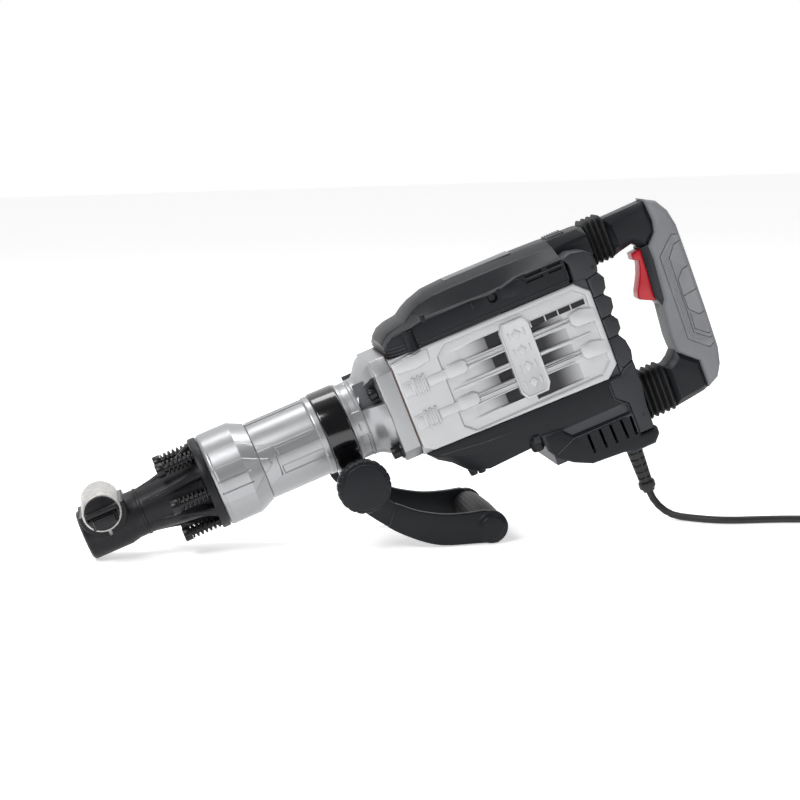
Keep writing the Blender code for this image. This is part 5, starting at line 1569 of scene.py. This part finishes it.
def row_tree():
    """Stands copies of the geometry it is given at even steps along a straight row."""
    tree, known = tree_with("in_a_row", [("Count", "NodeSocketInt"), ("Start", "NodeSocketVector"),
                                         ("Step", "NodeSocketVector"), ("Finish", "NodeSocketMaterial")])
    new, link = tree.nodes.new, tree.links.new
    given = new("NodeGroupInput")
    line = new("GeometryNodeMeshLine")
    copies = new("GeometryNodeInstanceOnPoints")
    link(given.outputs["Count"], line.inputs["Count"])
    link(given.outputs["Start"], line.inputs["Start Location"])
    link(given.outputs["Step"], line.inputs["Offset"])
    link(line.outputs["Mesh"], copies.inputs["Points"])
    link(given.outputs["Geometry"], copies.inputs["Instance"])
    painted_result(tree, given, copies.outputs["Instances"])
    return tree, known


in_a_row = row_tree()
RIB_ROWS = [((317.0, 31.5), (0.0, -2.3), 38), ((317.8, 37.5), (1.75, 1.55), 8),
            ((317.6, -57.5), (1.9, -1.7), 8)]
for side in (-1, 1):
    for number, (first, step, count) in enumerate(RIB_ROWS):
        rib = strip([(-3.4, -1.6), (3.4, 1.6)], 1.0, -17.45, -16.2, 0.25)
        rib_pattern = mesh_piece("rib_pattern", on_side(rib, side), [soft_grey], place=no_place)
        row = grown(f"grip_ribs_{'near' if side < 0 else 'far'}_{number}", in_a_row,
                    {"Count": count, "Start": (first[0] * MM, 0, first[1] * MM),
                     "Step": (step[0] * MM, 0, step[1] * MM), "Finish": soft_grey},
                    hammer_frame, rib_pattern.data)
        bpy.data.objects.remove(rib_pattern)
        finished(row, "rear_handle", "soft_grey")


# ---- The trigger ------------------------------------------------------------------------
# Glossy red plastic with a concave front and a square nub at its top. It pivots in the handle's
# upper arm and presses the switch behind it.

TRIGGER = [(286.8, 41.4), (287.2, 48.6), (296.0, 49.4), (312.0, 48.6), (312.0, 39.0), (302.4, 30.0),
           (300.4, 8.0), (299.6, -5.0), (296.0, -9.8), (279.4, -1.4), (278.2, 1.6), (280.0, 8.0),
           (284.4, 16.0), (288.4, 24.0), (291.4, 33.0), (292.4, 39.0)]
signal_red = skin("signal_red", (0.46, 0.004, 0.014), 0.3, 0.0, mottle=0.08, mottle_mm=14, grain_mm=0.7,
                  depth_mm=0.03, spread=0.05, coat=0.1)
trigger = mesh_piece("trigger_shown", [pillow(TRIGGER, 9.0, 2.2, 4)], [signal_red], 40)
finished(trigger, "trigger", "red_plastic", "trigger")


# ---- The side handle --------------------------------------------------------------------
# Two bowed arms of black plastic over steel hang from the clamp bolt and carry a rubber grip
# between round end caps. Past a step each arm is sleeved in a thicker moulding.

ARM_IN_Y, ARM_OUT_Y = 53.0, 59.0
GRIP_X, GRIP_Z = 33.0, -150.0
TOP_CURVE = [(-57.6, -54.0), (-57.6, -66.0), (-54.0, -82.0), (-44.0, -92.5), (-31.0, -104.0),
             (-8.0, -118.0), (14.0, -126.4), (33.0, -131.6)]
LOW_CURVE = [(33.0, -167.2), (14.0, -159.6), (-14.0, -149.3), (-30.0, -141.0), (-46.0, -128.0),
             (-64.0, -109.0), (-82.0, -84.0), (-93.0, -64.0), (-93.4, -52.0)]


def arc_points(centre, radius, start_deg, end_deg, steps):
    points = []
    for k in range(steps + 1):
        angle = math.radians(start_deg + (end_deg - start_deg) * k / steps)
        points.append((centre[0] + radius * math.cos(angle), centre[1] + radius * math.sin(angle)))
    return points


def past(line, start_x):
    """The part of a line that lies to the rear of this place."""
    return [point for point in line if point[0] > start_x]


arm_top = [tuple(point) for point in smooth_curve(TOP_CURVE, 5)]
arm_low = [tuple(point) for point in smooth_curve(LOW_CURVE, 5)]
arm_outline = arm_top + arc_points((GRIP_X, GRIP_Z), 17.4, 80, -80, 12) + arm_low
arm_outline += arc_points((CLAMP_X, CLAMP_Z), 17.9, 178, 4, 12)
sleeve_top = [(x - 0.2, z + 1.0) for x, z in past(arm_top, -52.0)]
sleeve_low = [(x + 0.2, z - 1.0) for x, z in past(arm_low, -71.0)]
sleeve_outline = sleeve_top + arc_points((GRIP_X, GRIP_Z), 17.2, 76, -76, 10) + sleeve_low
for side, name in ((-1, "near"), (1, "far")):
    middle = side * (ARM_IN_Y + ARM_OUT_Y) / 2
    arm = mesh_piece(f"handle_arm_{name}_shown",
                     [pillow(arm_outline, 2.4, 0.8, 2, middle),
                      pillow(sleeve_outline, 3.9, 1.4, 3, middle)],
                     [moulded_black], 40)
    finished(arm, "side_handle", "black_plastic", f"handle_arm_{name}")
    cap = [(side * 52.9, 2.0), (side * 52.9, 15.0), (side * 53.4, 17.0), (side * 60.4, 17.0),
           (side * 61.6, 15.8), (side * 61.9, 12.6), (side * 62.3, 12.2), (side * 63.2, 11.6),
           (side * 63.5, 10.4), (side * 63.7, 2.0)]
    end_cap = mesh_piece(f"side_grip_cap_{name}", [turned(cap, 96, (GRIP_X, 0, GRIP_Z), "Y")],
                         [moulded_black], 50)
    finished(end_cap, "side_handle", "black_plastic")


def grip_rule(along, angle, radius):
    """Shallow flutes round the rubber grip."""
    return radius - 0.35 * (0.5 + 0.5 * math.cos(angle * 24)) * ease((48 - abs(along)) / 6)


grip_profile = [(-52.4, 4), (-52.4, 14.6)]
for k in range(41):
    y = -52.0 + 104.0 * k / 40
    grip_profile.append((y, 15.2 + 2.0 * (1 - (y / 52.0) ** 2)))
grip_profile += [(52.4, 14.6), (52.4, 4)]
side_grip = mesh_piece("side_grip_shown", [turned(grip_profile, 144, (GRIP_X, 0, GRIP_Z), "Y", grip_rule)],
                       [matt_rubber], 50)
finished(side_grip, "side_handle", "rubber", "side_grip")


# ---- The hammer works -------------------------------------------------------------------
# The parts inside, seen only in a cut view: ground cylinder, striker and piston, hardened
# gears and rod, the motor's copper-wound armature, its fan, brushes and bearing.

ground_steel = skin("ground_steel", (0.60, 0.60, 0.61), 0.22, 1.0, mottle=0.05, mottle_mm=10, grain_mm=0.5,
                    depth_mm=0.02, stretch=(1, 1, 12))
hardened_steel = skin("hardened_steel", (0.34, 0.34, 0.36), 0.34, 1.0, mottle=0.15, mottle_mm=8,
                      grain_mm=0.6, depth_mm=0.04)
copper_winding = skin("copper_winding", (0.50, 0.22, 0.09), 0.38, 0.9, mottle=0.2, mottle_mm=4,
                      grain_mm=0.8, depth_mm=0.2, stretch=(1, 1, 8))
drawn_brass = skin("drawn_brass", (0.58, 0.42, 0.16), 0.3, 1.0, mottle=0.1, mottle_mm=6, grain_mm=0.4,
                   depth_mm=0.03)
repainted(ground_steel, "cylinder_sleeve", "impact_bolt", "striker", "piston", "armature_bearing")
repainted(hardened_steel, "connecting_rod", "crankshaft", "crank_gear", "intermediate_gear",
          "motor_pinion", "stator")
repainted(copper_winding, "armature")
repainted(drawn_brass, "brush_holder_near", "brush_holder_far")
repainted(moulded_black, "fan")
